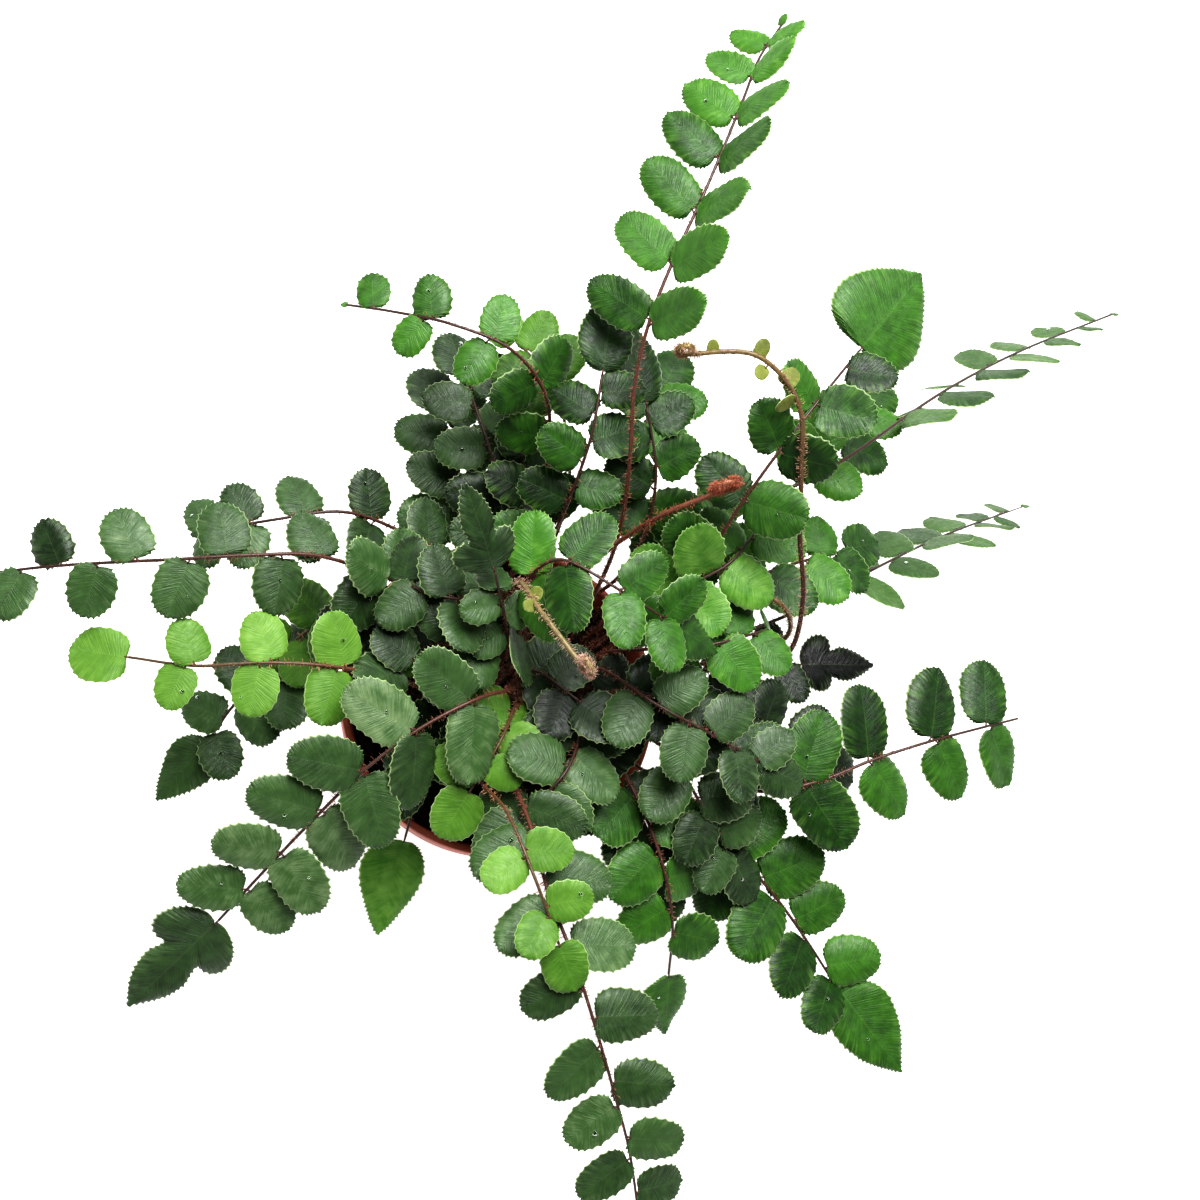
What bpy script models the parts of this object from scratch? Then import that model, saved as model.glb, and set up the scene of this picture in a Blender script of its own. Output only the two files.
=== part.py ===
"""A potted button fern: a round plastic pot filled with peat, and one solid for each frond."""

import math
import random
from collections import namedtuple

import bmesh
import bpy
from mathutils import Matrix, Vector
from mathutils.bvhtree import BVHTree

MM = 0.001

# The pot, in millimetres
POT_HEIGHT = 90.0
RIM_RADIUS = 52.5
RIM_WIDTH = 2.6
BAND_HEIGHT = 13.0
BAND_STEP = 1.4
WALL = 1.5
BASE_RADIUS = 37.0
FLOOR = 2.2
BASE_EDGE = 1.5
POT_STEPS = 22
DRAIN_HOLES = 6
DRAIN_RING = 25.0
DRAIN_RADIUS = 4.0
DRAIN_STEPS = 8
SMOOTH_ANGLE = 35.0

# The peat, in millimetres
SOIL_TOP = 81.0
SOIL_LUMP = 1.6
SOIL_RINGS = (16.0, 32.0)
GAP = 0.3

# The stems, in millimetres; the foot stands more upright than the line to the next point
FOOT_DEPTH = 8.0
FOOT_RISE = 11.0
FOOT_UPRIGHT = 1.8
STEM_BASE = 1.3
STEM_TIP = 0.92
STEM_SIDES = 3
RING_STEP = 20.0
STEM_CLEAR = 3.1
LINE_STEP = 4.0
CURVE_STEPS = 8

# The curled heads: a big one winds further, and each winds in to less than half its radius
BIG_COIL = 4.0
BIG_WINDS = 1.25
SMALL_WINDS = 0.75
COIL_SHRINK = 0.55

# The leaflets, in millimetres and degrees
BLADE_THICKNESS = 0.7
BLADE_CLEAR = 0.45
STALK_HALF = 0.4
GUARD_START = 0.2
POT_CLEAR = 2.0
RIM_CLEAR = 1.2
SOIL_CLEAR = 1.0
SOIL_REACH = 46.0
GROUND_CLEAR = 4.0

Frond = namedtuple("Frond", "name age leaf wide pitch growth starts pairs tip roll light lift "
                            "end end_size foot route")

# Each frond: its age, the length of its leaflets, their width as a share of that, the space
# between them and how that grows from pair to pair, where the first leaflet stands on the left
# and the right, counted back from the stem's end, how many pairs it has, the size of the first
# pair as a share, the roll of its plane about the stem in degrees, how far its leaflets turn to
# the light and lift, the form and length of its end leaflet, where its stem stands in the peat,
# and its stem's route through points chosen by eye, in millimetres.
FRONDS = (
    Frond("centre", "mid", 20, 0.72, 17.5, 0, (2, 3.5), 4, 0.85, 0, 0.6, 0, "kite", 24, (-5, 11),
          ((-7, 17, 125), (2, 26, 160), (12, 21, 169), (24, 14, 168), (37, 9, 160))),
    Frond("centre_lobed", "old", 15, 0.8, 14, 0, (12, 6.5), 2, 0.85, 0, 0.7, 0,
          "lobed", 28, (-2, 4),
          ((-5, 8, 128), (-9, 14, 150), (-13, 23, 160))),
    Frond("lower_left", "old", 23, 0.68, 15.5, 0.06, (14, 14), 6, 0.85, -38, 0.5, 0,
          "lobed", 39, (11, 1),
          ((-6, -7, 136), (-25, -14, 142), (-48, -29, 140), (-70, -49, 128), (-90, -69, 113))),
    Frond("tall_back", "mid", 22, 0.62, 17.5, 0, (13, 14), 7, 0.6, -45, 0.2, 20,
          "bud", 5, (26, 22),
          ((31, 37, 125), (31, 54, 152), (30, 77, 168), (35, 100, 180), (48, 128, 188),
           (61, 156, 190), (75, 186, 184), (84, 199, 180))),
    Frond("front", "mid", 20, 0.72, 18.5, 0.05, (7, 18.5), 7, 0.85, 0, 0.5, -6,
          "round", 19, (3, -13),
          ((-4, -27, 120), (-2, -47, 138), (2, -72, 146), (8, -89, 146), (17, -117, 138),
           (26, -144, 124), (29, -158, 116))),
    Frond("left_young", "young", 17, 0.86, 21.5, 0, (18.5, 21), 4, 0.85, -8, 0.6, 0,
          "round", 18, (-20, 3),
          ((-30, -2, 118), (-55, 0, 138), (-80, 1, 142), (-101, 1, 138), (-115, 5, 132))),
    Frond("back_right", "mid", 19.5, 0.84, 18.5, 0, (28, 9), 4, 0.85, 4, 0.4, 16,
          "broad", 39, (36, 14),
          ((50, 24, 140), (66, 49, 168), (84, 71, 176), (102, 91, 172))),
    Frond("right_front", "mid", 25, 0.74, 24, 0, (16, 15), 5, 0.9, 18, 0.5, -6, "stub", 0, (33, -3),
          ((56, -26, 110), (81, -38, 119), (115, -29, 122), (138, -23, 122), (174, -15, 113))),
    Frond("right_hairy", "old", 19, 0.8, 19, 0, (5, 14), 3, 0.85, 0, 0.6, 0, "round", 16, (16, 8),
          ((25, -1, 134), (36, -12, 142), (50, -20, 142), (74, -31, 132))),
    Frond("back_left", "mid", 17, 0.8, 21, 0, (30, 11), 4, 0.8, -12, 0.3, -4, "bud", 3, (2, 33),
          ((10, 60, 126), (8, 80, 148), (-2, 90, 160), (-19, 97, 163), (-34, 104, 156),
           (-52, 113, 142))),
    Frond("long_left", "old", 18, 0.84, 23, 0.1, (16, 27), 5, 0.85, -10, 0.5, -8,
          "round", 15, (-13, 17),
          ((-20, 24, 116), (-46, 29, 138), (-66, 32, 146), (-95, 30, 148), (-134, 31, 136),
           (-158, 31, 125))),
    Frond("left_upper", "old", 17, 0.82, 14, 0.22, (3, 2), 5, 0.75, 10, 0.5, 0, "bud", 5, (-10, 27),
          ((-18, 41, 108), (-49, 50, 128), (-70, 48, 130), (-94, 46, 121))),
    Frond("crozier_middle", "crozier", 5, 0.9, 9, 0, (12, 8), 3, 0.45, 0, 0.6, 0,
          "coil", 3.4, (-9, 6),
          ((-9, 14, 120), (-1, 22, 152), (2, 8, 172), (8, -9, 176))),
    Frond("crozier_orange", "crozier", 4, 0.9, 30, 0, (39.5, 27), 0, 0.45, 0, 0.5, 0,
          "coil", 5, (21, 31),
          ((27, 38, 122), (38, 43, 151), (47, 45, 165), (56, 46, 170))),
    Frond("back_mid", "mid", 19, 0.8, 14.5, 0, (12.5, 6.5), 3, 0.85, 0, 0.7, 0,
          "kite", 29, (29, 31),
          ((40, 38, 122), (41, 53, 142), (42, 66, 150), (38, 78, 154))),
    Frond("back_inner", "mid", 18, 0.82, 15, 0, (13, 7), 3, 0.85, 0, 0.7, 0, "kite", 28, (8, 28),
          ((12, 42, 118), (16, 56, 148), (21, 75, 162), (22, 84, 163))),
    Frond("right_mid", "mid", 19.5, 0.84, 15.5, 0, (13.5, 7), 3, 0.85, 0, 0.7, 0,
          "round", 18, (28, 14),
          ((36, 17, 124), (49, 23, 147), (62, 29, 151), (74, 42, 148))),
    Frond("right_inner", "mid", 19.5, 0.84, 15.5, 0, (13.5, 7), 3, 0.85, 0, 0.7, 0,
          "round", 18, (25, 6),
          ((32, 9, 122), (43, 3, 141), (58, 5, 146), (76, 10, 141))),
    Frond("left_inner", "old", 19.5, 0.84, 15.5, 0, (13.5, 7), 3, 0.85, 0, 0.7, 0,
          "round", 18, (5, 9),
          ((4, 12, 120), (-8, 10, 136), (-23, 6, 138), (-37, 1, 130))),
    Frond("left_round", "old", 19.5, 0.84, 15.5, 0, (13.5, 7), 3, 0.85, 0, 0.7, 0,
          "round", 18, (2, 16),
          ((-2, 20, 124), (-14, 20, 142), (-27, 18, 145), (-41, 27, 137))),
    Frond("front_centre", "old", 19.5, 0.84, 15.5, 0, (13.5, 7), 3, 0.85, 0, 0.7, 0,
          "round", 18, (14, -6),
          ((15, -10, 116), (11, -20, 133), (2, -32, 136), (-3, -44, 130))),
    Frond("front_right_mid", "old", 19.5, 0.84, 15.5, 0, (13.5, 7), 3, 0.85, 0, 0.6, 0,
          "round", 18, (27, -5),
          ((37, -8, 114), (45, -24, 126), (56, -42, 122), (69, -58, 109))),
    Frond("front_mid", "mid", 22, 0.84, 19, 0, (18, 27), 3, 0.85, 0, 0.5, 0, "kite", 25, (24, -12),
          ((31, -23, 110), (41, -50, 118), (48, -75, 108), (50, -92, 93))),
    Frond("front_right", "mid", 23, 0.84, 18.5, 0, (9.5, 3.5), 4, 0.85, 0, 0.5, 12,
          "kite", 38, (34, -17),
          ((54, -37, 104), (78, -60, 100), (93, -78, 96), (109, -99, 87))),
    Frond("front_young", "young", 16, 0.84, 18, 0, (12, 10), 2, 0.85, 0, 0.6, 0,
          "round", 15, (-4, -22),
          ((-14, -31, 121), (-11, -43, 147), (-6, -60, 155), (-1, -75, 154), (2, -82, 151))),
    Frond("front_inner", "young", 18, 0.86, 13.5, 0, (11.5, 6), 3, 0.85, 0, 0.7, 0,
          "round", 17, (6, -5),
          ((0, -8, 120), (-6, -20, 134), (-12, -29, 136), (-18, -36, 131))),
    Frond("back_right_low", "mid", 19.5, 0.84, 15.5, 0, (13.5, 7), 3, 0.85, 0, 0.6, 0,
          "round", 18, (40, 18),
          ((64, 32, 108), (86, 56, 122), (110, 74, 121), (131, 96, 111))),
    Frond("right_back_mid", "mid", 19.5, 0.84, 15.5, 0, (13.5, 7), 3, 0.85, 0, 0.6, 0,
          "round", 18, (37, 23),
          ((60, 24, 110), (77, 28, 124), (98, 35, 123), (117, 44, 114))),
    Frond("back_pale", "young", 18, 0.82, 13, 0, (11.5, 6), 2, 0.85, 0, 0.6, 0,
          "round", 16, (9, 35),
          ((20, 56, 110), (18, 76, 130), (11, 95, 137), (3, 108, 131))),
    Frond("back_dark", "old", 20, 0.8, 15.5, 0, (13.5, 7), 4, 0.85, 0, 0.6, 0,
          "round", 18, (-2, 23),
          ((5, 42, 104), (1, 62, 122), (-6, 84, 127), (-13, 100, 121))),
    Frond("back_low", "mid", 19.5, 0.84, 15.5, 0, (13.5, 7), 2, 0.85, 0, 0.6, 0,
          "round", 18, (17, 37),
          ((34, 54, 102), (42, 74, 113), (50, 90, 116), (57, 102, 111))),
    Frond("left_mid", "young", 19.5, 0.84, 15.5, 0, (13.5, 7), 2, 0.85, 0, 0.6, 0,
          "round", 18, (-20, 20),
          ((-30, 26, 104), (-46, 26, 113), (-62, 20, 104), (-72, 14, 94))),
    Frond("left_back_low", "old", 20, 0.8, 15.5, 0, (13.5, 7), 3, 0.85, 0, 0.6, 0,
          "round", 18, (-11, 35),
          ((-14, 48, 104), (-14, 66, 114), (-18, 82, 114), (-20, 93, 109))),
    Frond("right_low", "old", 19.5, 0.84, 15.5, 0, (13.5, 7), 3, 0.85, 0, 0.6, 0,
          "round", 18, (38, -14),
          ((60, -9, 103), (80, -12, 105), (98, -18, 100), (109, -24, 91))),
    Frond("inner_left", "old", 18, 0.86, 14, 0, (12, 6.5), 2, 0.85, 0, 0.7, 0,
          "round", 18, (-15, 10),
          ((-22, 9, 110), (-32, 9, 122), (-44, 14, 121))),
    Frond("inner_front", "mid", 16, 0.86, 13, 0, (10.5, 5.5), 2, 0.85, 0, 0.7, 0,
          "round", 14, (8, -16),
          ((4, -20, 108), (-6, -26, 119), (-18, -24, 120))),
    Frond("inner_middle", "old", 18, 0.86, 14, 0, (12, 6.5), 2, 0.85, 0, 0.7, 0,
          "round", 18, (2, 2),
          ((2, -2, 112), (6, -6, 128), (16, -10, 133))),
    Frond("inner_back", "mid", 18, 0.86, 14, 0, (12, 6.5), 2, 0.85, 0, 0.7, 0,
          "round", 18, (13, 19),
          ((14, 28, 110), (13, 42, 124), (8, 56, 128), (4, 70, 126))),
    Frond("inner_right", "old", 18, 0.86, 14, 0, (12, 6.5), 2, 0.85, 0, 0.7, 0,
          "round", 18, (21, -4),
          ((26, -5, 110), (34, -6, 128), (46, -10, 133))),
    Frond("inner_far", "mid", 18, 0.86, 14, 0, (12, 6.5), 2, 0.85, 0, 0.7, 0, "round", 18, (30, 19),
          ((42, 30, 112), (52, 38, 129), (62, 50, 133))),
    Frond("dark_low", "old", 18, 0.8, 17, 0, (15, 7.5), 2, 0.85, 0, 0.6, 0, "lobed", 30, (41, -8),
          ((60, -2, 101), (82, 8, 100), (103, 8, 97))),
    Frond("front_low", "old", 19.5, 0.84, 15.5, 0, (13.5, 7), 3, 0.85, 0, 0.6, 0,
          "round", 18, (13, -20),
          ((24, -27, 108), (35, -38, 114), (42, -50, 110), (46, -60, 101))),
    Frond("rim_inner", "mid", 17, 0.86, 14, 0, (12, 6.5), 2, 0.85, 0, 0.7, 0,
          "round", 17, (-13, -5),
          ((-17, -10, 102), (-24, -18, 110), (-31, -27, 108))),
    Frond("left_low", "old", 19, 0.84, 15, 0, (4, 10), 3, 0.85, 0, 0.5, 0, "kite", 26, (-27, 9),
          ((-40, 10, 96), (-64, 7, 98), (-86, -1, 92), (-93, -11, 85))),
    Frond("rim_kite", "mid", 15, 0.84, 40, 0, (35, 18), 0, 0.85, 0, 0.4, 0, "kite", 33, (-17, -15),
          ((-25, -22, 100), (-31, -35, 99), (-33, -45, 92))),
    Frond("far_right", "pale", 20, 0.74, 24, 0, (13, 24), 6, 0.5, -52, 0, 0, "bud", 5, (33, 27),
          ((66, 48, 118), (92, 60, 132), (116, 73, 130), (157, 101, 116), (202, 127, 99),
           (258, 154, 80))),
    Frond("right_droop", "pale", 19, 0.74, 15, 0.08, (12, 19), 6, 0.6, -52, 0, 0, "bud", 5, (41, 8),
          ((62, 12, 108), (89, 19, 118), (133, 41, 105), (169, 58, 89), (212, 75, 71))),
    Frond("curled_arch", "crozier", 8, 0.8, 12, 0, (16, 11), 3, 0.55, 0, 0.5, 0,
          "coil", 3.4, (41, 1),
          ((62, 4, 108), (84, 4, 140), (80, 37, 165), (74, 71, 186), (56, 82, 190),
           (42, 82, 185))),
    Frond("pale_arch", "crozier", 7, 0.8, 12, 0, (16, 11), 1, 0.45, 0, 0.5, 0, "coil", 3.4, (35, 5),
          ((62, 12, 100), (86, 20, 128), (84, 26, 142), (73, 28, 147), (64, 27, 141))),
)

# Placing rules for leaflets: their angle to the stem, how soon they reach full size, how much
# they differ, and how far one may turn aside to stay clear
LEAFLET_ANGLE = 66.0
SIZE_GAIN = 0.26
END_OVERLAP = 0.4
MARK_SPREAD = (-0.8, 0.8)
SIZE_SPREAD = (0.93, 1.07)
LIFT_SPREAD = (-6, 10)
TWIST_SPREAD = (-12, 12)
SWING_SPREAD = (-7, 7)
BEND_SPREAD = (0.02, 0.12)
LIFTS = (0, 14, -14, 28, -28, 44, -44, 60, -60)
TWISTS = (0, 22, -22, 44, -44)
SWINGS = (0, 16, -16)
SHRINKS = (1.0, 0.84, 0.7)

LEAF_COLOURS = {
    "old": (0.030, 0.075, 0.035),
    "mid": (0.045, 0.135, 0.035),
    "young": (0.145, 0.330, 0.030),
    "pale": (0.085, 0.170, 0.060),
    "crozier": (0.330, 0.190, 0.070),
}
LEAF_ROUGHNESS = 0.45


def clear_scene():
    """Starts from an empty scene."""
    for thing in list(bpy.data.objects):
        bpy.data.objects.remove(thing, do_unlink=True)


def new_collection(name):
    """Makes a collection and links it to the scene."""
    group = bpy.data.collections.new(name)
    bpy.context.scene.collection.children.link(group)
    return group


def plain_material(name, colour, roughness):
    """A Principled material of one colour."""
    material = bpy.data.materials.new(name)
    material.use_nodes = True
    shader = material.node_tree.nodes["Principled BSDF"]
    shader.inputs["Base Color"].default_value = (*colour, 1.0)
    shader.inputs["Roughness"].default_value = roughness
    shader.inputs["Metallic"].default_value = 0.0
    return material


def add_object(name, mesh, group, material=None):
    """Puts a mesh in the scene as a named object."""
    thing = bpy.data.objects.new(name, mesh)
    group.objects.link(thing)
    if material:
        mesh.materials.append(material)
    return thing


def mesh_from(name, points, faces):
    """A mesh in metres from points in millimetres, with its faces turned outwards."""
    shape = bmesh.new()
    made = [shape.verts.new(Vector(p) * MM) for p in points]
    for face in faces:
        shape.faces.new([made[i] for i in face])
    bmesh.ops.recalc_face_normals(shape, faces=shape.faces)
    mesh = bpy.data.meshes.new(name)
    shape.to_mesh(mesh)
    shape.free()
    return mesh


def apply_modifiers(thing):
    """Replaces an object's mesh by its evaluated mesh."""
    bpy.context.view_layer.update()
    graph = bpy.context.evaluated_depsgraph_get()
    mesh = bpy.data.meshes.new_from_object(thing.evaluated_get(graph))
    thing.modifiers.clear()
    thing.data = mesh


def turned(name, profile, group, material):
    """A solid turned about Z from a profile in millimetres that starts and ends on the axis."""
    shape = bmesh.new()
    points = [shape.verts.new((r * MM, 0.0, z * MM)) for r, z in profile]
    for first, second in zip(points, points[1:]):
        shape.edges.new((first, second))
    mesh = bpy.data.meshes.new(name)
    shape.to_mesh(mesh)
    shape.free()
    thing = add_object(name, mesh, group, material)
    screw = thing.modifiers.new("turn", "SCREW")
    screw.steps = POT_STEPS
    screw.render_steps = POT_STEPS
    screw.use_merge_vertices = True
    screw.merge_threshold = 0.0001
    apply_modifiers(thing)
    return thing


def shade_round(thing):
    """Shades a turned solid smooth, with its edges kept sharp."""
    thing.data.shade_smooth()
    thing.data.set_sharp_from_angle(angle=math.radians(SMOOTH_ANGLE))


def cut(thing, cutters):
    """Takes a collection of cutters away from an object."""
    boolean = thing.modifiers.new("cut", "BOOLEAN")
    boolean.operation = "DIFFERENCE"
    boolean.operand_type = "COLLECTION"
    boolean.collection = cutters
    apply_modifiers(thing)


def wall_radius(height):
    """The outer radius of the tapered wall at a height."""
    top = RIM_RADIUS - BAND_STEP
    return BASE_RADIUS + (top - BASE_RADIUS) * height / (POT_HEIGHT - BAND_HEIGHT)


def inner_radius(height):
    """The inner radius of the pot at a height."""
    top = RIM_RADIUS - RIM_WIDTH
    foot = BASE_RADIUS - WALL
    return foot + (top - foot) * (height - FLOOR) / (POT_HEIGHT - FLOOR)


def make_pot(group, cutters):
    """The nursery pot: tapered wall, collar band under the rim, floor with drain holes."""
    profile = (
        (0.0, FLOOR),
        (inner_radius(FLOOR), FLOOR),
        (inner_radius(POT_HEIGHT), POT_HEIGHT),
        (RIM_RADIUS - 0.5, POT_HEIGHT),
        (RIM_RADIUS, POT_HEIGHT - 0.6),
        (RIM_RADIUS - 0.5, POT_HEIGHT - BAND_HEIGHT),
        (wall_radius(POT_HEIGHT - BAND_HEIGHT) - 0.2, POT_HEIGHT - BAND_HEIGHT - 0.6),
        (wall_radius(BASE_EDGE), BASE_EDGE),
        (BASE_RADIUS - BASE_EDGE, 0.0),
        (0.0, 0.0),
    )
    pot = turned("pot", profile, group, plain_material("pot_plastic", (0.42, 0.10, 0.055), 0.5))
    for index in range(DRAIN_HOLES):
        angle = math.tau * (index + 0.5) / DRAIN_HOLES
        bpy.ops.mesh.primitive_cylinder_add(
            vertices=DRAIN_STEPS,
            radius=DRAIN_RADIUS * MM,
            depth=4 * FLOOR * MM,
            location=(DRAIN_RING * MM * math.cos(angle), DRAIN_RING * MM * math.sin(angle), 0.0),
        )
        hole = bpy.context.active_object
        hole.name = f"drain_cutter_{index}"
        keep_as_cutter(hole, cutters)
    cut(pot, cutters)
    shade_round(pot)


def keep_as_cutter(thing, cutters):
    """Moves an object to the cutters' collection and hides it from the model."""
    for group in list(thing.users_collection):
        group.objects.unlink(thing)
    cutters.objects.link(thing)
    thing.hide_render = True
    thing.display_type = "WIRE"


def soil_lump(x, y):
    """The height of the peat's uneven surface above its mean, in millimetres."""
    wave = math.sin(0.31 * x + 0.9) * math.cos(0.27 * y - 0.4)
    ripple = 0.6 * math.sin(0.83 * y + 0.21 * x) * math.cos(0.71 * x)
    return SOIL_LUMP * (wave + ripple) / 1.6


def make_soil(group, cutters):
    """The peat: one solid that fills the pot, with a plain hole for each stem."""
    edge = inner_radius(SOIL_TOP) - GAP
    foot = inner_radius(FLOOR + GAP) - GAP
    profile = [(0.0, SOIL_TOP)]
    profile += [(radius, SOIL_TOP) for radius in SOIL_RINGS]
    profile += [(edge, SOIL_TOP), (foot, FLOOR + GAP), (0.0, FLOOR + GAP)]
    soil = turned("soil", profile, group, plain_material("peat", (0.018, 0.013, 0.010), 0.95))
    for vertex in soil.data.vertices:
        x, y, z = vertex.co / MM
        if z > SOIL_TOP - 0.1 and math.hypot(x, y) < edge - 1.0:
            vertex.co.z += soil_lump(x, y) * MM
    cut(soil, cutters)
    shade_round(soil)


class Stem:
    """A stem's rings: places, directions and radii from its foot to its tip."""

    def __init__(self, frond, route):
        curve = smooth_curve(route)
        lengths = running_length(curve)
        total = lengths[-1]
        count = max(2, round((total - FOOT_DEPTH - FOOT_RISE) / RING_STEP))
        start = FOOT_DEPTH + FOOT_RISE
        marks = [0.0] + [start + (total - start) * i / count for i in range(count + 1)]
        self.rings = [point_at(curve, lengths, mark) for mark in marks]
        if frond.end == "coil":
            self.rings += coil_points(self.rings, frond.end_size)
        self.roll = math.radians(frond.roll)
        self.marks = running_length(self.rings)
        self.length = self.marks[-1]
        self.reach = total
        self.heading = flat_unit(Vector(route[-1]) - Vector(route[1]))
        self.coil_side = self.frame(self.reach - 1.0)[1]

    def radius(self, mark):
        """The stem's radius at a distance from its foot."""
        return STEM_BASE + (STEM_TIP - STEM_BASE) * mark / self.length

    def place(self, mark):
        """The stem's centre at a distance from its foot."""
        return point_at(self.rings, self.marks, mark)

    def frame(self, mark):
        """The stem's direction, its left side and its upper side at a distance."""
        if mark > self.reach:
            ahead = self.place(min(mark + 0.8, self.length))
            along = (ahead - self.place(mark - 0.8)).normalized()
            side = (self.coil_side - along * self.coil_side.dot(along)).normalized()
            return along, side, along.cross(side)
        ahead = self.place(min(mark + 4.0, self.length))
        behind = self.place(max(mark - 4.0, 0.0))
        along = (ahead - behind).normalized()
        level = Vector((along.x, along.y, 0.0)) + 0.3 * self.heading
        side = Vector((-level.y, level.x, 0.0))
        side = (side - along * side.dot(along)).normalized()
        upper = along.cross(side)
        turn = Matrix.Rotation(self.roll, 3, along)
        return along, turn @ side, turn @ upper


def flat_unit(vector):
    """The level direction of a vector."""
    return Vector((vector.x, vector.y, 0.0)).normalized()


def smooth_curve(route):
    """Points of a smooth curve that passes through a route's points."""
    points = [Vector(p) for p in route]
    ends = [2 * points[0] - points[1]] + points + [2 * points[-1] - points[-2]]
    curve = []
    for i in range(1, len(points)):
        a, b, c, d = ends[i - 1 : i + 3]
        for step in range(CURVE_STEPS):
            t = step / CURVE_STEPS
            bend = 2 * b + (c - a) * t + (2 * a - 5 * b + 4 * c - d) * t * t
            curve.append((bend + (3 * b - a - 3 * c + d) * t * t * t) / 2)
    curve.append(points[-1])
    return curve


def running_length(points):
    """The distance from the first point to each point along a line."""
    lengths = [0.0]
    for a, b in zip(points, points[1:]):
        lengths.append(lengths[-1] + (b - a).length)
    return lengths


def point_at(points, lengths, mark):
    """The point at a distance along a line."""
    for i in range(1, len(points)):
        if mark <= lengths[i] or i == len(points) - 1:
            share = (mark - lengths[i - 1]) / (lengths[i] - lengths[i - 1])
            return points[i - 1].lerp(points[i], min(max(share, 0.0), 1.0))
    return points[-1]


def coil_points(rings, radius):
    """The curled head of an unrolling frond, as points that wind inwards in a level turn."""
    along = (rings[-1] - rings[-2]).normalized()
    side = Vector((-along.y, along.x, 0.0)).normalized()
    down = side.cross(along).normalized()
    centre = rings[-1] + down * -radius
    points = []
    winds = BIG_WINDS if radius > BIG_COIL else SMALL_WINDS
    steps = round(8 * winds)
    for i in range(1, steps + 1):
        angle = math.tau * winds * i / steps
        size = radius * (1.0 - COIL_SHRINK * i / steps)
        points.append(centre + down * (size * math.cos(angle)) + along * (size * math.sin(angle)))
    return points


def whole_route(frond):
    """The stem's route with its foot in the peat."""
    x, y = frond.foot
    first = Vector(frond.route[0])
    lean = (first - Vector((x, y, SOIL_TOP))).normalized()
    lean = (lean + Vector((0.0, 0.0, FOOT_UPRIGHT))).normalized()
    surface = Vector((x, y, SOIL_TOP))
    bottom = surface - lean * FOOT_DEPTH
    above = surface + lean * FOOT_RISE
    return [tuple(bottom), tuple(above)] + list(frond.route)


def line_gap(first, second):
    """The least distance from the points of one line to the other line."""
    least = 1000.0
    for a in first:
        for b, c in zip(second, second[1:]):
            span = c - b
            share = min(max((a - b).dot(span) / span.length_squared, 0.0), 1.0)
            least = min(least, (a - b - span * share).length)
    return least


def fine_line(stem):
    """A stem's centre line with points close together."""
    count = int(stem.length / LINE_STEP)
    return [stem.place(stem.length * i / count) for i in range(count + 1)]


def make_stems():
    """A stem for each frond, bent clear of those before it."""
    stems = {}
    lines = []
    for frond in FRONDS:
        stem, line = clear_stem(frond, lines)
        stems[frond.name] = stem
        lines.append(line)
    return stems


def clear_stem(frond, lines):
    """The frond's stem, with its inner route points moved aside where it would touch another."""
    route = whole_route(frond)
    best = None
    for shift in shifts():
        moved = [Vector(p) for p in route]
        for i in range(2, len(moved) - 1):
            share = 0.5 if i == 2 and len(moved) > 4 else 1.0
            moved[i] = moved[i] + Vector(shift) * share
        stem = Stem(frond, [tuple(p) for p in moved])
        line = fine_line(stem)
        gap = min([line_gap(line, other) for other in lines if near(line, other)] or [1000.0])
        if best is None or gap > best[0]:
            best = (gap, stem, line)
        if gap > STEM_CLEAR:
            break
    return best[1], best[2]


def near(first, second):
    """Whether two lines' boxes come within the stems' clearance."""
    for axis in range(3):
        low = max(min(p[axis] for p in first), min(p[axis] for p in second))
        high = min(max(p[axis] for p in first), max(p[axis] for p in second))
        if low - high > STEM_CLEAR:
            return False
    return True


def shifts():
    """Small moves to try, the least first."""
    yield (0.0, 0.0, 0.0)
    for size in (1.5, 3.0, 4.5, 6.0, 8.0, 10.0):
        for turn in range(8):
            angle = math.tau * turn / 8
            yield (size * math.cos(angle), size * math.sin(angle), 0.0)
        yield (0.0, 0.0, size)
        yield (0.0, 0.0, -size)


def tube(stem, grow, last=None):
    """Points and faces of a stem's tube, three sided, with its radius grown by a margin."""
    rings = stem.rings[:last]
    marks = stem.marks[:last]
    points = []
    for place, mark in zip(rings, marks):
        _, side, upper = stem.frame(mark)
        for corner in range(STEM_SIDES):
            angle = math.tau * (corner / STEM_SIDES + 0.25)
            out = side * math.cos(angle) + upper * math.sin(angle)
            points.append(place + out * (stem.radius(mark) + grow))
    faces = []
    for ring in range(len(rings) - 1):
        low = ring * STEM_SIDES
        for corner in range(STEM_SIDES):
            after = (corner + 1) % STEM_SIDES
            faces.append((low + corner, low + after, low + after + STEM_SIDES,
                          low + corner + STEM_SIDES))
    faces.append(tuple(range(STEM_SIDES)))
    faces.append(tuple(range(len(points) - STEM_SIDES, len(points))))
    return points, faces


Blade = namedtuple("Blade", "kind length wide root along across upper bend")


# The half width of a three-lobed end leaf along its length, both as shares of its length
LOBES = ((0.0, 0.03), (0.12, 0.13), (0.26, 0.27), (0.40, 0.31), (0.45, 0.15), (0.62, 0.175),
         (0.84, 0.10), (1.0, 0.01))


def half_width(kind, wide, share):
    """A blade's half width as a share of its length, at a share of its length."""
    if kind in ("kite", "bud", "broad"):
        widest = 0.42 if kind == "broad" else 0.32
        if share < widest:
            return wide / 2 * (share / widest) ** 0.55
        return wide / 2 * (1.0 - (share - widest) / (1.0 - widest)) ** 0.8 + 0.015
    if kind == "lobed":
        for (low, first), (high, second) in zip(LOBES, LOBES[1:]):
            if share <= high:
                return first + (second - first) * (share - low) / (high - low)
    return wide / 2 * math.sin(math.pi * min(share, 0.999) ** 0.85) ** 0.58


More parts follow.
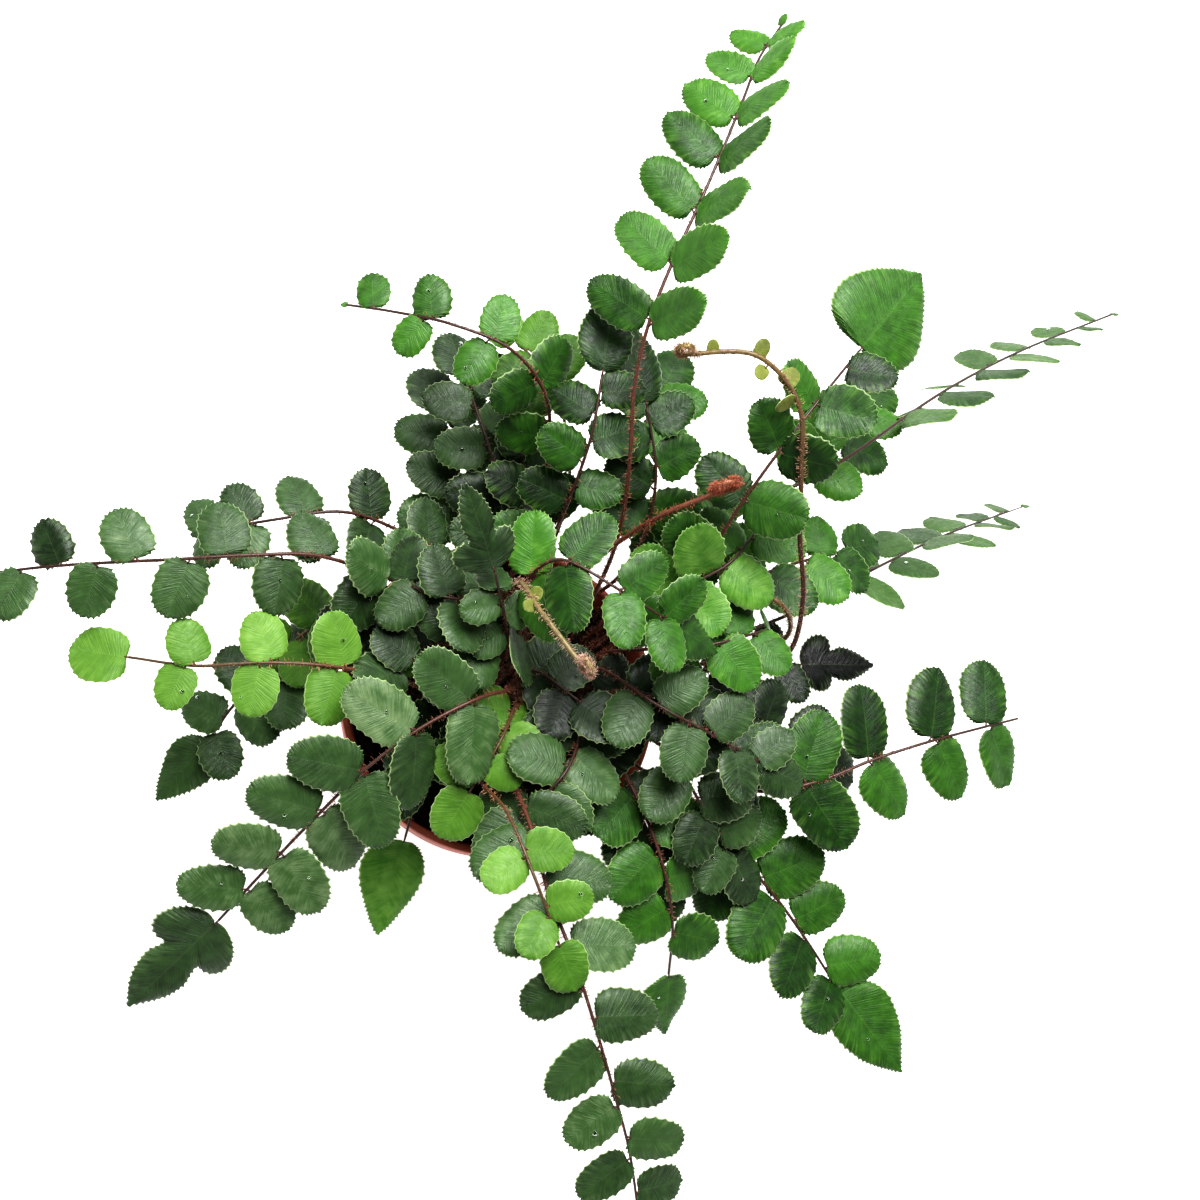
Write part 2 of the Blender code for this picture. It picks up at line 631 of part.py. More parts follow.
STATIONS = {
    "small": (0.24, 0.86),
    "round": (0.17, 0.60, 0.975),
    "kite": (0.12, 0.32, 0.66, 0.985),
    "broad": (0.12, 0.42, 0.72, 0.985),
    "bud": (0.3, 0.97),
    "lobed": (0.12, 0.26, 0.40, 0.45, 0.62, 0.84, 0.985),
}
SMALL_LEAF = 14.0
END_WIDE = {"round": 0.9, "kite": 0.6, "broad": 0.86, "lobed": 0.62, "bud": 0.6}


def blade_rows(blade, grow=0.0, start=0.0):
    """Rows across a blade from its root: how far along, half width and drop, in millimetres."""
    kind = blade.kind
    if kind == "round" and blade.length < SMALL_LEAF:
        kind = "small"
    rows = []
    if start == 0.0:
        rows.append((0.0, STALK_HALF))
    for share in STATIONS[kind]:
        if share > start:
            rows.append((share, half_width(blade.kind, blade.wide, share) * blade.length))
    if start:
        rows.insert(0, (start, half_width(blade.kind, blade.wide, start) * blade.length * 0.9))
    length = blade.length
    return [(share * length + (grow if share > 0.9 else 0.0), half + grow,
             -blade.bend * length * share * share) for share, half in rows]


def blade_shape(blade, grow=0.0, start=0.0):
    """Points and faces of a blade: level rows joined by flat faces, alike on both sides."""
    thick = BLADE_THICKNESS / 2 + grow
    points = []
    for forward, half, drop in blade_rows(blade, grow, start):
        centre = blade.root + blade.along * forward + blade.upper * drop
        for out, up in ((half, thick), (-half, thick), (-half, -thick), (half, -thick)):
            points.append(centre + blade.across * out + blade.upper * up)
    faces = []
    rows = len(points) // 4
    for row in range(rows - 1):
        low = row * 4
        for corner in range(4):
            after = (corner + 1) % 4
            faces.append((low + corner, low + after, low + after + 4, low + corner + 4))
    faces.append((0, 1, 2, 3))
    last = len(points) - 4
    faces.append((last, last + 1, last + 2, last + 3))
    return points, faces


def blade_at(stem, mark, side, kind, length, wide, light, lift, twist, swing, bend):
    """A blade that stands out from the stem on one side, turned to the light and by small angles."""
    along, left, upper = stem.frame(mark)
    angle = math.radians(LEAFLET_ANGLE + swing) if side else 0.0
    out = along * math.cos(angle) + left * (side * math.sin(angle))
    out = Vector((out.x, out.y, out.z * (1.0 - 0.6 * light))).normalized()
    hinge = upper.cross(out).normalized()
    out = Matrix.Rotation(math.radians(-lift), 3, hinge) @ out
    face = upper.lerp(Vector((0.0, 0.0, 1.0)), light)
    face = (face - out * face.dot(out)).normalized()
    face = Matrix.Rotation(math.radians(twist), 3, out) @ face
    return Blade(kind, length, wide, stem.place(mark), out, face.cross(out), face, bend)


def outside_pot(points):
    """Whether a shape's points are all clear of the pot, the peat and the floor."""
    for p in points:
        radius = math.hypot(p.x, p.y)
        if p.z < GROUND_CLEAR:
            return False
        if radius < RIM_RADIUS + POT_CLEAR:
            over_soil = SOIL_TOP + SOIL_LUMP + SOIL_CLEAR
            floor = over_soil if radius < SOIL_REACH else POT_HEIGHT + RIM_CLEAR
            if p.z < floor:
                return False
    return True


class Space:
    """The shapes placed so far, for testing whether a new one is clear of them."""

    def __init__(self):
        self.items = []

    def add(self, owner, points, faces):
        """Keeps a shape."""
        centre, reach = ball(points)
        self.items.append((owner, centre, reach, BVHTree.FromPolygons(points, faces)))

    def clear(self, owner, guard, whole):
        """Whether a blade's guarded part crosses nothing, and its whole nothing of the others."""
        centre, reach = ball(guard[0] + whole[0])
        guarded = BVHTree.FromPolygons(*guard)
        full = BVHTree.FromPolygons(*whole)
        for holder, other, far, kept in self.items:
            if (centre - other).length > reach + far:
                continue
            if guarded.overlap(kept) or (holder != owner and full.overlap(kept)):
                return False
        return True


def ball(points):
    """A ball that holds a shape's points."""
    centre = sum(points, Vector()) / len(points)
    return centre, max((p - centre).length for p in points)


def leaflet_marks(frond, stem):
    """Where a frond's leaflets stand: distance from the foot, side and length."""
    draw = random.Random(frond.name)
    marks = []
    for pair in range(frond.pairs):
        back = frond.pitch * (pair + frond.growth * pair * (pair - 1) / 2)
        gain = math.sin(math.pi / 2 * min(1.0, SIZE_GAIN * pair))
        size = frond.tip + (1.0 - frond.tip) * gain
        for side, start in zip((1, -1), frond.starts):
            mark = stem.reach - start - back + draw.uniform(*MARK_SPREAD)
            marks.append((mark, side, frond.leaf * size * draw.uniform(*SIZE_SPREAD)))
    return marks


def turns():
    """Ways to turn a leaflet aside, the least first."""
    ways = [(lift, twist, swing, shrink) for shrink in SHRINKS for lift in LIFTS
            for twist in TWISTS for swing in SWINGS]
    return sorted(ways, key=lambda way: (abs(way[0]) + 0.8 * abs(way[1]) + abs(way[2])
                                         + 160 * (1 - way[3])))


def fit_blade(space, frond, stem, mark, side, kind, length, wide, draw):
    """The least turned blade that is clear of everything, or None."""
    lift = draw.uniform(*LIFT_SPREAD)
    twist = draw.uniform(*TWIST_SPREAD)
    swing = draw.uniform(*SWING_SPREAD)
    bend = draw.uniform(*BEND_SPREAD)
    for more_lift, more_twist, more_swing, shrink in turns():
        blade = blade_at(stem, mark, side, kind, length * shrink, wide, frond.light,
                         frond.lift + lift + more_lift, twist + more_twist,
                         swing + more_swing, bend)
        guard = blade_shape(blade, BLADE_CLEAR, GUARD_START)
        whole = blade_shape(blade, GAP)
        if outside_pot(guard[0]) and space.clear(frond.name, guard, whole):
            space.add(frond.name, *blade_shape(blade))
            return blade
    return None


def make_blades(stems):
    """Every frond's blades, placed one after another clear of what is there."""
    space = Space()
    for frond in FRONDS:
        space.add(frond.name, *tube(stems[frond.name], GAP))
    blades = {frond.name: [] for frond in FRONDS}
    for frond in FRONDS:
        if frond.end in END_WIDE:
            stem = stems[frond.name]
            draw = random.Random(frond.name + " end")
            blade = fit_blade(space, frond, stem, stem.length - END_OVERLAP, 0, frond.end,
                              float(frond.end_size), END_WIDE[frond.end], draw)
            if blade:
                blades[frond.name].append(blade)
    for frond in FRONDS:
        stem = stems[frond.name]
        draw = random.Random(frond.name + " leaflets")
        kind = "bud" if frond.end == "coil" else "round"
        for mark, side, length in leaflet_marks(frond, stem):
            blade = fit_blade(space, frond, stem, mark, side, kind, length, frond.wide, draw)
            if blade:
                blades[frond.name].append(blade)
    return blades


def fuse_frond(frond, stem, blades, group, material):
    """One solid of a frond: its stem and its blades, joined by one union."""
    points, faces = tube(stem, 0.0)
    name = "frond_" + frond.name
    thing = add_object(name, mesh_from(name, points, faces), group, material)
    if not blades:
        return thing
    repeats = new_collection(name + "_blades")
    for index, blade in enumerate(blades):
        piece = f"{name}_blade_{index}"
        add_object(piece, mesh_from(piece, *blade_shape(blade)), repeats)
    union = thing.modifiers.new("grown", "BOOLEAN")
    union.operation = "UNION"
    union.operand_type = "COLLECTION"
    union.collection = repeats
    apply_modifiers(thing)
    for piece in list(repeats.objects):
        bpy.data.objects.remove(piece, do_unlink=True)
    bpy.data.collections.remove(repeats)
    return thing


def foot_cutter(frond, stem, cutters):
    """The plain hole that a stem stands in."""
    points, faces = tube(stem, 2 * GAP, last=2)
    down = (stem.rings[0] - stem.rings[1]).normalized()
    for corner in range(STEM_SIDES):
        points[corner] = points[corner] + down * GAP
    name = f"{frond.name}_hole"
    keep_as_cutter(add_object(name, mesh_from(name, points, faces), cutters), cutters)


def main():
    """Builds the whole plant in its pot."""
    clear_scene()
    group = new_collection("potted_button_fern")
    drains = new_collection("drain_cutters")
    holes = new_collection("stem_holes")
    make_pot(group, drains)
    stems = make_stems()
    for frond in FRONDS:
        foot_cutter(frond, stems[frond.name], holes)
    make_soil(group, holes)
    blades = make_blades(stems)
    materials = {age: plain_material("leaf_" + age, colour, LEAF_ROUGHNESS)
                 for age, colour in LEAF_COLOURS.items()}
    for frond in FRONDS:
        fuse_frond(frond, stems[frond.name], blades[frond.name], group, materials[frond.age])


main()
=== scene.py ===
# %% [markdown]
# # A potted button fern
# This notebook dresses the plain solids of a small potted fern as the living plant. The solids
# give every frond its place and its size. Here each frond gets real leaflets with toothed edges
# and veins, a thin brown stem with bristles, and the pot and the peat get their true surfaces.
# All sizes are in millimetres and are turned into metres when a mesh is made.

# %% Load the frame
import math
import random
from collections import namedtuple

import bmesh
import bpy
import numpy as np
from mathutils import Matrix, Vector, noise
from mathutils.bvhtree import BVHTree


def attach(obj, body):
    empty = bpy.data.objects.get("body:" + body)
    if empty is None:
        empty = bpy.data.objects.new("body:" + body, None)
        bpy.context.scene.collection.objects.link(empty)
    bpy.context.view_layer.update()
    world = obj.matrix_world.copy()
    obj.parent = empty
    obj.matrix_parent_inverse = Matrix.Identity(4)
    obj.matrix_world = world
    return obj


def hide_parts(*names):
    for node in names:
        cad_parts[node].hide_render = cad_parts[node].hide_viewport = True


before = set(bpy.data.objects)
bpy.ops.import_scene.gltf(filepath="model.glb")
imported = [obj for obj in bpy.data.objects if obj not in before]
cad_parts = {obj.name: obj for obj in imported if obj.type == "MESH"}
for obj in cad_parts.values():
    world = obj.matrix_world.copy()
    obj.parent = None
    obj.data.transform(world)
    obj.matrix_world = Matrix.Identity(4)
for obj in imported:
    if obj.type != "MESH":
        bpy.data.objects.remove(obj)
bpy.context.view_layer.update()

MM = 0.001
print("solids loaded:", len(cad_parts), "nodes")

# %% [markdown]
# ## The camera
# The picture was taken from above, with the camera tipped about twenty degrees from the plumb
# line towards the front left. The camera's own three axes are built from that tilt, and its
# place is found from the pot's rim, whose centre lies a little left of and below the middle.
# It could also be aimed with a constraint, but a plain matrix keeps every number in sight.

# %% Camera
# The tilt and its side, the focal length and the picture's width in pixels, and the middle of
# the pot's rim: its place in the picture in pixels, its distance and its height in millimetres
VIEW_TILT = math.radians(20.0)
VIEW_SIDE = math.radians(225.0)
FOCAL_PIXELS = 1500.0
FRAME_PIXELS = 1200.0
RIM_PIXEL = (501.0, 696.0)
RIM_DEPTH = 495.0
RIM_PLACE = Vector((0.0, 0.0, 90.0))
SENSOR_WIDTH = 36.0


def new_object(name, data):
    """A new object in the scene."""
    made = bpy.data.objects.new(name, data)
    bpy.context.scene.collection.objects.link(made)
    return made


def make_camera():
    """The camera at the picture's viewing angle."""
    back = Vector((math.sin(VIEW_TILT) * math.cos(VIEW_SIDE),
                   math.sin(VIEW_TILT) * math.sin(VIEW_SIDE), math.cos(VIEW_TILT)))
    right = (Vector((1.0, 0.0, 0.0)) - back * back.x).normalized()
    up = back.cross(right)
    aside = (RIM_PIXEL[0] - FRAME_PIXELS / 2) / FOCAL_PIXELS * RIM_DEPTH
    below = (RIM_PIXEL[1] - FRAME_PIXELS / 2) / FOCAL_PIXELS * RIM_DEPTH
    place = (RIM_PLACE - right * aside + up * below + back * RIM_DEPTH) * MM
    data = bpy.data.cameras.new("camera")
    data.sensor_width = SENSOR_WIDTH
    data.lens = SENSOR_WIDTH * FOCAL_PIXELS / FRAME_PIXELS
    data.clip_start = 0.01
    camera = new_object("camera", data)
    camera.matrix_world = Matrix((
        (right.x, up.x, back.x, place.x),
        (right.y, up.y, back.y, place.y),
        (right.z, up.z, back.z, place.z),
        (0.0, 0.0, 0.0, 1.0),
    ))
    bpy.context.scene.camera = camera
    print("camera", [round(v, 3) for v in place], "m")


make_camera()

# %% [markdown]
# ## Floor and light
# The plant stands on a plain white table that glows a little, as a light table does, so its
# shadow stays pale. One large lamp above and behind gives the leathery leaflets their wide, pale
# sheen. The surrounding is white near the horizon and dim overhead, which leaves the inside of
# the crown in deep shade. Several small lamps could light it too, but they would break the sheen
# into many spots.

# %% Floor and light
# The floor in millimetres and its glow; the lamp in metres and watts; the light near the horizon
# and overhead, and between which heights of the sky it fades
FLOOR_SIZE = 6000.0
FLOOR_GLOW = 0.6
LAMP_PLACE = Vector((0.1, 0.5, 1.25))
LAMP_SIZE = 0.9
LAMP_POWER = 30.0
LAMP_AIM = Vector((0.0, 0.0, 0.12))
LOW_LIGHT = 0.75
HIGH_LIGHT = 0.12
FADE_HEIGHTS = (0.28, 0.6)


def make_floor():
    """A plain pale floor that fills the view from any side."""
    shape = bmesh.new()
    bmesh.ops.create_grid(shape, x_segments=4, y_segments=4, size=FLOOR_SIZE / 2 * MM)
    mesh = bpy.data.meshes.new("studio_floor")
    shape.to_mesh(mesh)
    shape.free()
    floor = new_object("studio_floor", mesh)
    material = bpy.data.materials.new("white_floor")
    material.use_nodes = True
    shader = material.node_tree.nodes["Principled BSDF"]
    shader.inputs["Base Color"].default_value = (0.6, 0.6, 0.6, 1.0)
    shader.inputs["Roughness"].default_value = 0.9
    shader.inputs["Specular IOR Level"].default_value = 0.1
    shader.inputs["Emission Color"].default_value = (1.0, 1.0, 1.0, 1.0)
    shader.inputs["Emission Strength"].default_value = FLOOR_GLOW
    mesh.materials.append(material)


def make_lamp():
    """A square soft lamp aimed at the crown of the plant."""
    data = bpy.data.lights.new("window", "AREA")
    data.shape = "SQUARE"
    data.size = LAMP_SIZE
    data.energy = LAMP_POWER
    lamp = new_object("window", data)
    lamp.location = LAMP_PLACE
    lamp.rotation_mode = "QUATERNION"
    lamp.rotation_quaternion = (LAMP_AIM - LAMP_PLACE).to_track_quat("-Z", "Y")


def make_surrounding():
    """A white surrounding, bright near the horizon and dim overhead."""
    world = bpy.data.worlds.new("white_room")
    bpy.context.scene.world = world
    world.use_nodes = True
    tree = world.node_tree
    background = tree.nodes["Background"]
    background.inputs["Color"].default_value = (1.0, 1.0, 1.0, 1.0)
    direction = tree.nodes.new("ShaderNodeTexCoord")
    split = tree.nodes.new("ShaderNodeSeparateXYZ")
    fade = tree.nodes.new("ShaderNodeMapRange")
    for key, value in zip(("From Min", "From Max", "To Min", "To Max"),
                          (*FADE_HEIGHTS, LOW_LIGHT, HIGH_LIGHT)):
        fade.inputs[key].default_value = value
    tree.links.new(direction.outputs["Generated"], split.inputs["Vector"])
    tree.links.new(split.outputs["Z"], fade.inputs["Value"])
    tree.links.new(fade.outputs["Result"], background.inputs["Strength"])


make_floor()
make_lamp()
make_surrounding()
bpy.context.scene.view_settings.view_transform = "Standard"
bpy.context.scene.view_settings.look = "High Contrast"
print("one lamp,", LAMP_SIZE, "m wide,", LAMP_POWER, "W")

# %% [markdown]
# ## The plan of the plant
# A fern frond is one stem with pairs of leaflets. The table below plans each frond: its age, the
# size and spacing of its leaflets, the leaflet at its end, where it stands in the peat, and a few
# points that its stem passes through. A plant could also be scattered by chance, but here each
# frond has to lie where the real one lies, so only the small differences are left to chance.

# %% Frond table
# Each frond: its age, the length of its leaflets, their width as a share of that, the space
# between them and how that grows from pair to pair, where the first leaflet stands on the left
# and the right, counted back from the stem's end, how many pairs it has, the size of the first
# pair as a share, the roll of its plane about the stem in degrees, how far its leaflets turn to
# the light and lift, the form and length of its end leaflet, where its stem stands in the peat,
# and its stem's route through listed points, in millimetres
Frond = namedtuple("Frond", "name age leaf wide pitch growth starts pairs tip roll light lift "
                            "end end_size foot route")


def crown(name, age, pairs, light, foot, route):
    """One of the middling fronds that fill the crown."""
    return Frond(name, age, 19.5, 0.84, 15.5, 0, (13.5, 7), pairs, 0.85, 0, light, 0,
                 "round", 18, foot, route)


def inner(name, age, leaf, foot, route):
    """One of the small fronds inside the crown."""
    return Frond(name, age, leaf, 0.86, 14, 0, (12, 6.5), 2, 0.85, 0, 0.7, 0,
                 "round", leaf, foot, route)


FRONDS = (
    Frond("centre", "mid", 20, 0.72, 17.5, 0, (2, 3.5), 4, 0.85, 0, 0.6, 0, "kite", 24, (-5, 11),
          ((-7, 17, 125), (2, 26, 160), (12, 21, 169), (24, 14, 168), (37, 9, 160))),
    Frond("centre_lobed", "old", 15, 0.8, 14, 0, (12, 6.5), 2, 0.85, 0, 0.7, 0,
          "lobed", 28, (-2, 4),
          ((-5, 8, 128), (-9, 14, 150), (-13, 23, 160))),
    Frond("lower_left", "old", 23, 0.68, 15.5, 0.06, (14, 14), 6, 0.85, -38, 0.5, 0,
          "lobed", 39, (11, 1),
          ((-6, -7, 136), (-25, -14, 142), (-48, -29, 140), (-70, -49, 128), (-90, -69, 113))),
    Frond("tall_back", "mid", 22, 0.62, 17.5, 0, (13, 14), 7, 0.6, -45, 0.2, 20, "bud", 5, (26, 22),
          ((31, 37, 125), (31, 54, 152), (30, 77, 168), (35, 100, 180), (48, 128, 188),
           (61, 156, 190), (75, 186, 184), (84, 199, 180))),
    Frond("front", "mid", 20, 0.72, 18.5, 0.05, (7, 18.5), 7, 0.85, 0, 0.5, -6,
          "round", 19, (3, -13),
          ((-4, -27, 120), (-2, -47, 138), (2, -72, 146), (8, -89, 146), (17, -117, 138),
           (26, -144, 124), (29, -158, 116))),
    Frond("left_young", "young", 17, 0.86, 21.5, 0, (18.5, 21), 4, 0.85, -8, 0.6, 0,
          "round", 18, (-20, 3),
          ((-30, -2, 118), (-55, 0, 138), (-80, 1, 142), (-101, 1, 138), (-115, 5, 132))),
    Frond("back_right", "mid", 19.5, 0.84, 18.5, 0, (28, 9), 4, 0.85, 4, 0.4, 16,
          "broad", 39, (36, 14),
          ((50, 24, 140), (66, 49, 168), (84, 71, 176), (102, 91, 172))),
    Frond("right_front", "mid", 25, 0.74, 24, 0, (16, 15), 5, 0.9, 18, 0.5, -6, "stub", 0, (33, -3),
          ((56, -26, 110), (81, -38, 119), (115, -29, 122), (138, -23, 122), (174, -15, 113))),
    Frond("right_hairy", "old", 19, 0.8, 19, 0, (5, 14), 3, 0.85, 0, 0.6, 0, "round", 16, (16, 8),
          ((25, -1, 134), (36, -12, 142), (50, -20, 142), (74, -31, 132))),
    Frond("back_left", "mid", 17, 0.8, 21, 0, (30, 11), 4, 0.8, -12, 0.3, -4, "bud", 3, (2, 33),
          ((10, 60, 126), (8, 80, 148), (-2, 90, 160), (-19, 97, 163), (-34, 104, 156),
           (-52, 113, 142))),
    Frond("long_left", "old", 18, 0.84, 23, 0.1, (16, 27), 5, 0.85, -10, 0.5, -8,
          "round", 15, (-13, 17),
          ((-20, 24, 116), (-46, 29, 138), (-66, 32, 146), (-95, 30, 148), (-134, 31, 136),
           (-158, 31, 125))),
    Frond("left_upper", "old", 17, 0.82, 14, 0.22, (3, 2), 5, 0.75, 10, 0.5, 0, "bud", 5, (-10, 27),
          ((-18, 41, 108), (-49, 50, 128), (-70, 48, 130), (-94, 46, 121))),
    Frond("crozier_middle", "crozier", 5, 0.9, 9, 0, (12, 8), 3, 0.45, 0, 0.6, 0,
          "coil", 3.4, (-9, 6),
          ((-9, 14, 120), (-1, 22, 152), (2, 8, 172), (8, -9, 176))),
    Frond("crozier_orange", "crozier", 4, 0.9, 30, 0, (39.5, 27), 0, 0.45, 0, 0.5, 0,
          "coil", 5, (21, 31),
          ((27, 38, 122), (38, 43, 151), (47, 45, 165), (56, 46, 170))),
    Frond("back_mid", "mid", 19, 0.8, 14.5, 0, (12.5, 6.5), 3, 0.85, 0, 0.7, 0,
          "kite", 29, (29, 31),
          ((40, 38, 122), (41, 53, 142), (42, 66, 150), (38, 78, 154))),
    Frond("back_inner", "mid", 18, 0.82, 15, 0, (13, 7), 3, 0.85, 0, 0.7, 0, "kite", 28, (8, 28),
          ((12, 42, 118), (16, 56, 148), (21, 75, 162), (22, 84, 163))),
    crown("right_mid", "mid", 3, 0.7, (28, 14),
          ((36, 17, 124), (49, 23, 147), (62, 29, 151), (74, 42, 148))),
    crown("right_inner", "mid", 3, 0.7, (25, 6),
          ((32, 9, 122), (43, 3, 141), (58, 5, 146), (76, 10, 141))),
    crown("left_inner", "old", 3, 0.7, (5, 9),
          ((4, 12, 120), (-8, 10, 136), (-23, 6, 138), (-37, 1, 130))),
    crown("left_round", "old", 3, 0.7, (2, 16),
          ((-2, 20, 124), (-14, 20, 142), (-27, 18, 145), (-41, 27, 137))),
    crown("front_centre", "old", 3, 0.7, (14, -6),
          ((15, -10, 116), (11, -20, 133), (2, -32, 136), (-3, -44, 130))),
    crown("front_right_mid", "old", 3, 0.6, (27, -5),
          ((37, -8, 114), (45, -24, 126), (56, -42, 122), (69, -58, 109))),
    Frond("front_mid", "mid", 22, 0.84, 19, 0, (18, 27), 3, 0.85, 0, 0.5, 0, "kite", 25, (24, -12),
          ((31, -23, 110), (41, -50, 118), (48, -75, 108), (50, -92, 93))),
    Frond("front_right", "mid", 23, 0.84, 18.5, 0, (9.5, 3.5), 4, 0.85, 0, 0.5, 12,
          "kite", 38, (34, -17),
          ((54, -37, 104), (78, -60, 100), (93, -78, 96), (109, -99, 87))),
    Frond("front_young", "young", 16, 0.84, 18, 0, (12, 10), 2, 0.85, 0, 0.6, 0,
          "round", 15, (-4, -22),
          ((-14, -31, 121), (-11, -43, 147), (-6, -60, 155), (-1, -75, 154), (2, -82, 151))),
    Frond("front_inner", "young", 18, 0.86, 13.5, 0, (11.5, 6), 3, 0.85, 0, 0.7, 0,
          "round", 17, (6, -5),
          ((0, -8, 120), (-6, -20, 134), (-12, -29, 136), (-18, -36, 131))),
    crown("back_right_low", "mid", 3, 0.6, (40, 18),
          ((64, 32, 108), (86, 56, 122), (110, 74, 121), (131, 96, 111))),
    crown("right_back_mid", "mid", 3, 0.6, (37, 23),
          ((60, 24, 110), (77, 28, 124), (98, 35, 123), (117, 44, 114))),
    Frond("back_pale", "young", 18, 0.82, 13, 0, (11.5, 6), 2, 0.85, 0, 0.6, 0,
          "round", 16, (9, 35),
          ((20, 56, 110), (18, 76, 130), (11, 95, 137), (3, 108, 131))),
    Frond("back_dark", "old", 20, 0.8, 15.5, 0, (13.5, 7), 4, 0.85, 0, 0.6, 0,
          "round", 18, (-2, 23),
          ((5, 42, 104), (1, 62, 122), (-6, 84, 127), (-13, 100, 121))),
    crown("back_low", "mid", 2, 0.6, (17, 37),
          ((34, 54, 102), (42, 74, 113), (50, 90, 116), (57, 102, 111))),
    crown("left_mid", "young", 2, 0.6, (-20, 20),
          ((-30, 26, 104), (-46, 26, 113), (-62, 20, 104), (-72, 14, 94))),
    Frond("left_back_low", "old", 20, 0.8, 15.5, 0, (13.5, 7), 3, 0.85, 0, 0.6, 0,
          "round", 18, (-11, 35),
          ((-14, 48, 104), (-14, 66, 114), (-18, 82, 114), (-20, 93, 109))),
    crown("right_low", "old", 3, 0.6, (38, -14),
          ((60, -9, 103), (80, -12, 105), (98, -18, 100), (109, -24, 91))),
    inner("inner_left", "old", 18, (-15, 10),
          ((-22, 9, 110), (-32, 9, 122), (-44, 14, 121))),
    Frond("inner_front", "mid", 16, 0.86, 13, 0, (10.5, 5.5), 2, 0.85, 0, 0.7, 0,
          "round", 14, (8, -16),
          ((4, -20, 108), (-6, -26, 119), (-18, -24, 120))),
    inner("inner_middle", "old", 18, (2, 2),
          ((2, -2, 112), (6, -6, 128), (16, -10, 133))),
    inner("inner_back", "mid", 18, (13, 19),
          ((14, 28, 110), (13, 42, 124), (8, 56, 128), (4, 70, 126))),
    inner("inner_right", "old", 18, (21, -4),
          ((26, -5, 110), (34, -6, 128), (46, -10, 133))),
    inner("inner_far", "mid", 18, (30, 19),
          ((42, 30, 112), (52, 38, 129), (62, 50, 133))),
    Frond("dark_low", "old", 18, 0.8, 17, 0, (15, 7.5), 2, 0.85, 0, 0.6, 0, "lobed", 30, (41, -8),
          ((60, -2, 101), (82, 8, 100), (103, 8, 97))),
    crown("front_low", "old", 3, 0.6, (13, -20),
          ((24, -27, 108), (35, -38, 114), (42, -50, 110), (46, -60, 101))),
    inner("rim_inner", "mid", 17, (-13, -5),
          ((-17, -10, 102), (-24, -18, 110), (-31, -27, 108))),
    Frond("left_low", "old", 19, 0.84, 15, 0, (4, 10), 3, 0.85, 0, 0.5, 0, "kite", 26, (-27, 9),
          ((-40, 10, 96), (-64, 7, 98), (-86, -1, 92), (-93, -11, 85))),
    Frond("rim_kite", "mid", 15, 0.84, 40, 0, (35, 18), 0, 0.85, 0, 0.4, 0, "kite", 33, (-17, -15),
          ((-25, -22, 100), (-31, -35, 99), (-33, -45, 92))),
    Frond("far_right", "pale", 20, 0.74, 24, 0, (13, 24), 6, 0.5, -52, 0, 0, "bud", 5, (33, 27),
          ((66, 48, 118), (92, 60, 132), (116, 73, 130), (157, 101, 116), (202, 127, 99),
           (258, 154, 80))),
    Frond("right_droop", "pale", 19, 0.74, 15, 0.08, (12, 19), 6, 0.6, -52, 0, 0, "bud", 5, (41, 8),
          ((62, 12, 108), (89, 19, 118), (133, 41, 105), (169, 58, 89), (212, 75, 71))),
    Frond("curled_arch", "crozier", 8, 0.8, 12, 0, (16, 11), 3, 0.55, 0, 0.5, 0,
          "coil", 3.4, (41, 1),
          ((62, 4, 108), (84, 4, 140), (80, 37, 165), (74, 71, 186), (56, 82, 190), (42, 82, 185))),
    Frond("pale_arch", "crozier", 7, 0.8, 12, 0, (16, 11), 1, 0.45, 0, 0.5, 0, "coil", 3.4, (35, 5),
          ((62, 12, 100), (86, 20, 128), (84, 26, 142), (73, 28, 147), (64, 27, 141))),
)
print("fronds planned:", len(FRONDS))

# %% [markdown]
# ## Smooth lines
# A stem has no corners, but it is planned with a few points only. The line between two points
# bends with regard to the point before and the point after, so it passes through all of them
# without a kink. A curve object of Blender's could do the same. Plain sums were chosen because
# the solids were made by the very same steps, and both lines have to agree.

# %% Smooth lines
CURVE_STEPS = 8


def smooth_curve(route):
    """Points of a smooth curve that passes through a route's points."""
    points = [Vector(p) for p in route]
    ends = [2 * points[0] - points[1]] + points + [2 * points[-1] - points[-2]]
    curve = []
    for i in range(1, len(points)):
        a, b, c, d = ends[i - 1 : i + 3]
        for step in range(CURVE_STEPS):
            t = step / CURVE_STEPS
            bend = 2 * b + (c - a) * t + (2 * a - 5 * b + 4 * c - d) * t * t
            curve.append((bend + (3 * b - a - 3 * c + d) * t * t * t) / 2)
    curve.append(points[-1])
    return curve


def running_length(points):
    """The distance from the first point to each point along a line."""
    lengths = [0.0]
    for a, b in zip(points, points[1:]):
        lengths.append(lengths[-1] + (b - a).length)
    return lengths


def point_at(points, lengths, mark):
    """The point at a distance along a line."""
    for i in range(1, len(points)):
        if mark <= lengths[i] or i == len(points) - 1:
            share = (mark - lengths[i - 1]) / (lengths[i] - lengths[i - 1])
            return points[i - 1].lerp(points[i], min(max(share, 0.0), 1.0))
    return points[-1]


print("steps between two points of a line:", CURVE_STEPS)

# %% [markdown]
# ## One stem
# A stem is thickest at its foot and thins towards its tip. It is kept as a row of places with
# their distances from the foot, so that its place, direction and thickness can be looked up
# anywhere. A frond that still unrolls ends in a curled head: more places, which wind inwards.

# %% One stem
# The foot's depth and rise, the thickness and the distance of the rings, in millimetres
FOOT_DEPTH = 8.0
FOOT_RISE = 11.0
STEM_BASE = 1.3
STEM_TIP = 0.92
RING_STEP = 20.0

# How far to both sides its direction is measured, in millimetres, on the stem and in its curled
# head, and how strongly its leaflets keep to the frond's main direction
LOOK_AHEAD = 4.0
COIL_AHEAD = 0.8
HEADING_PULL = 0.3

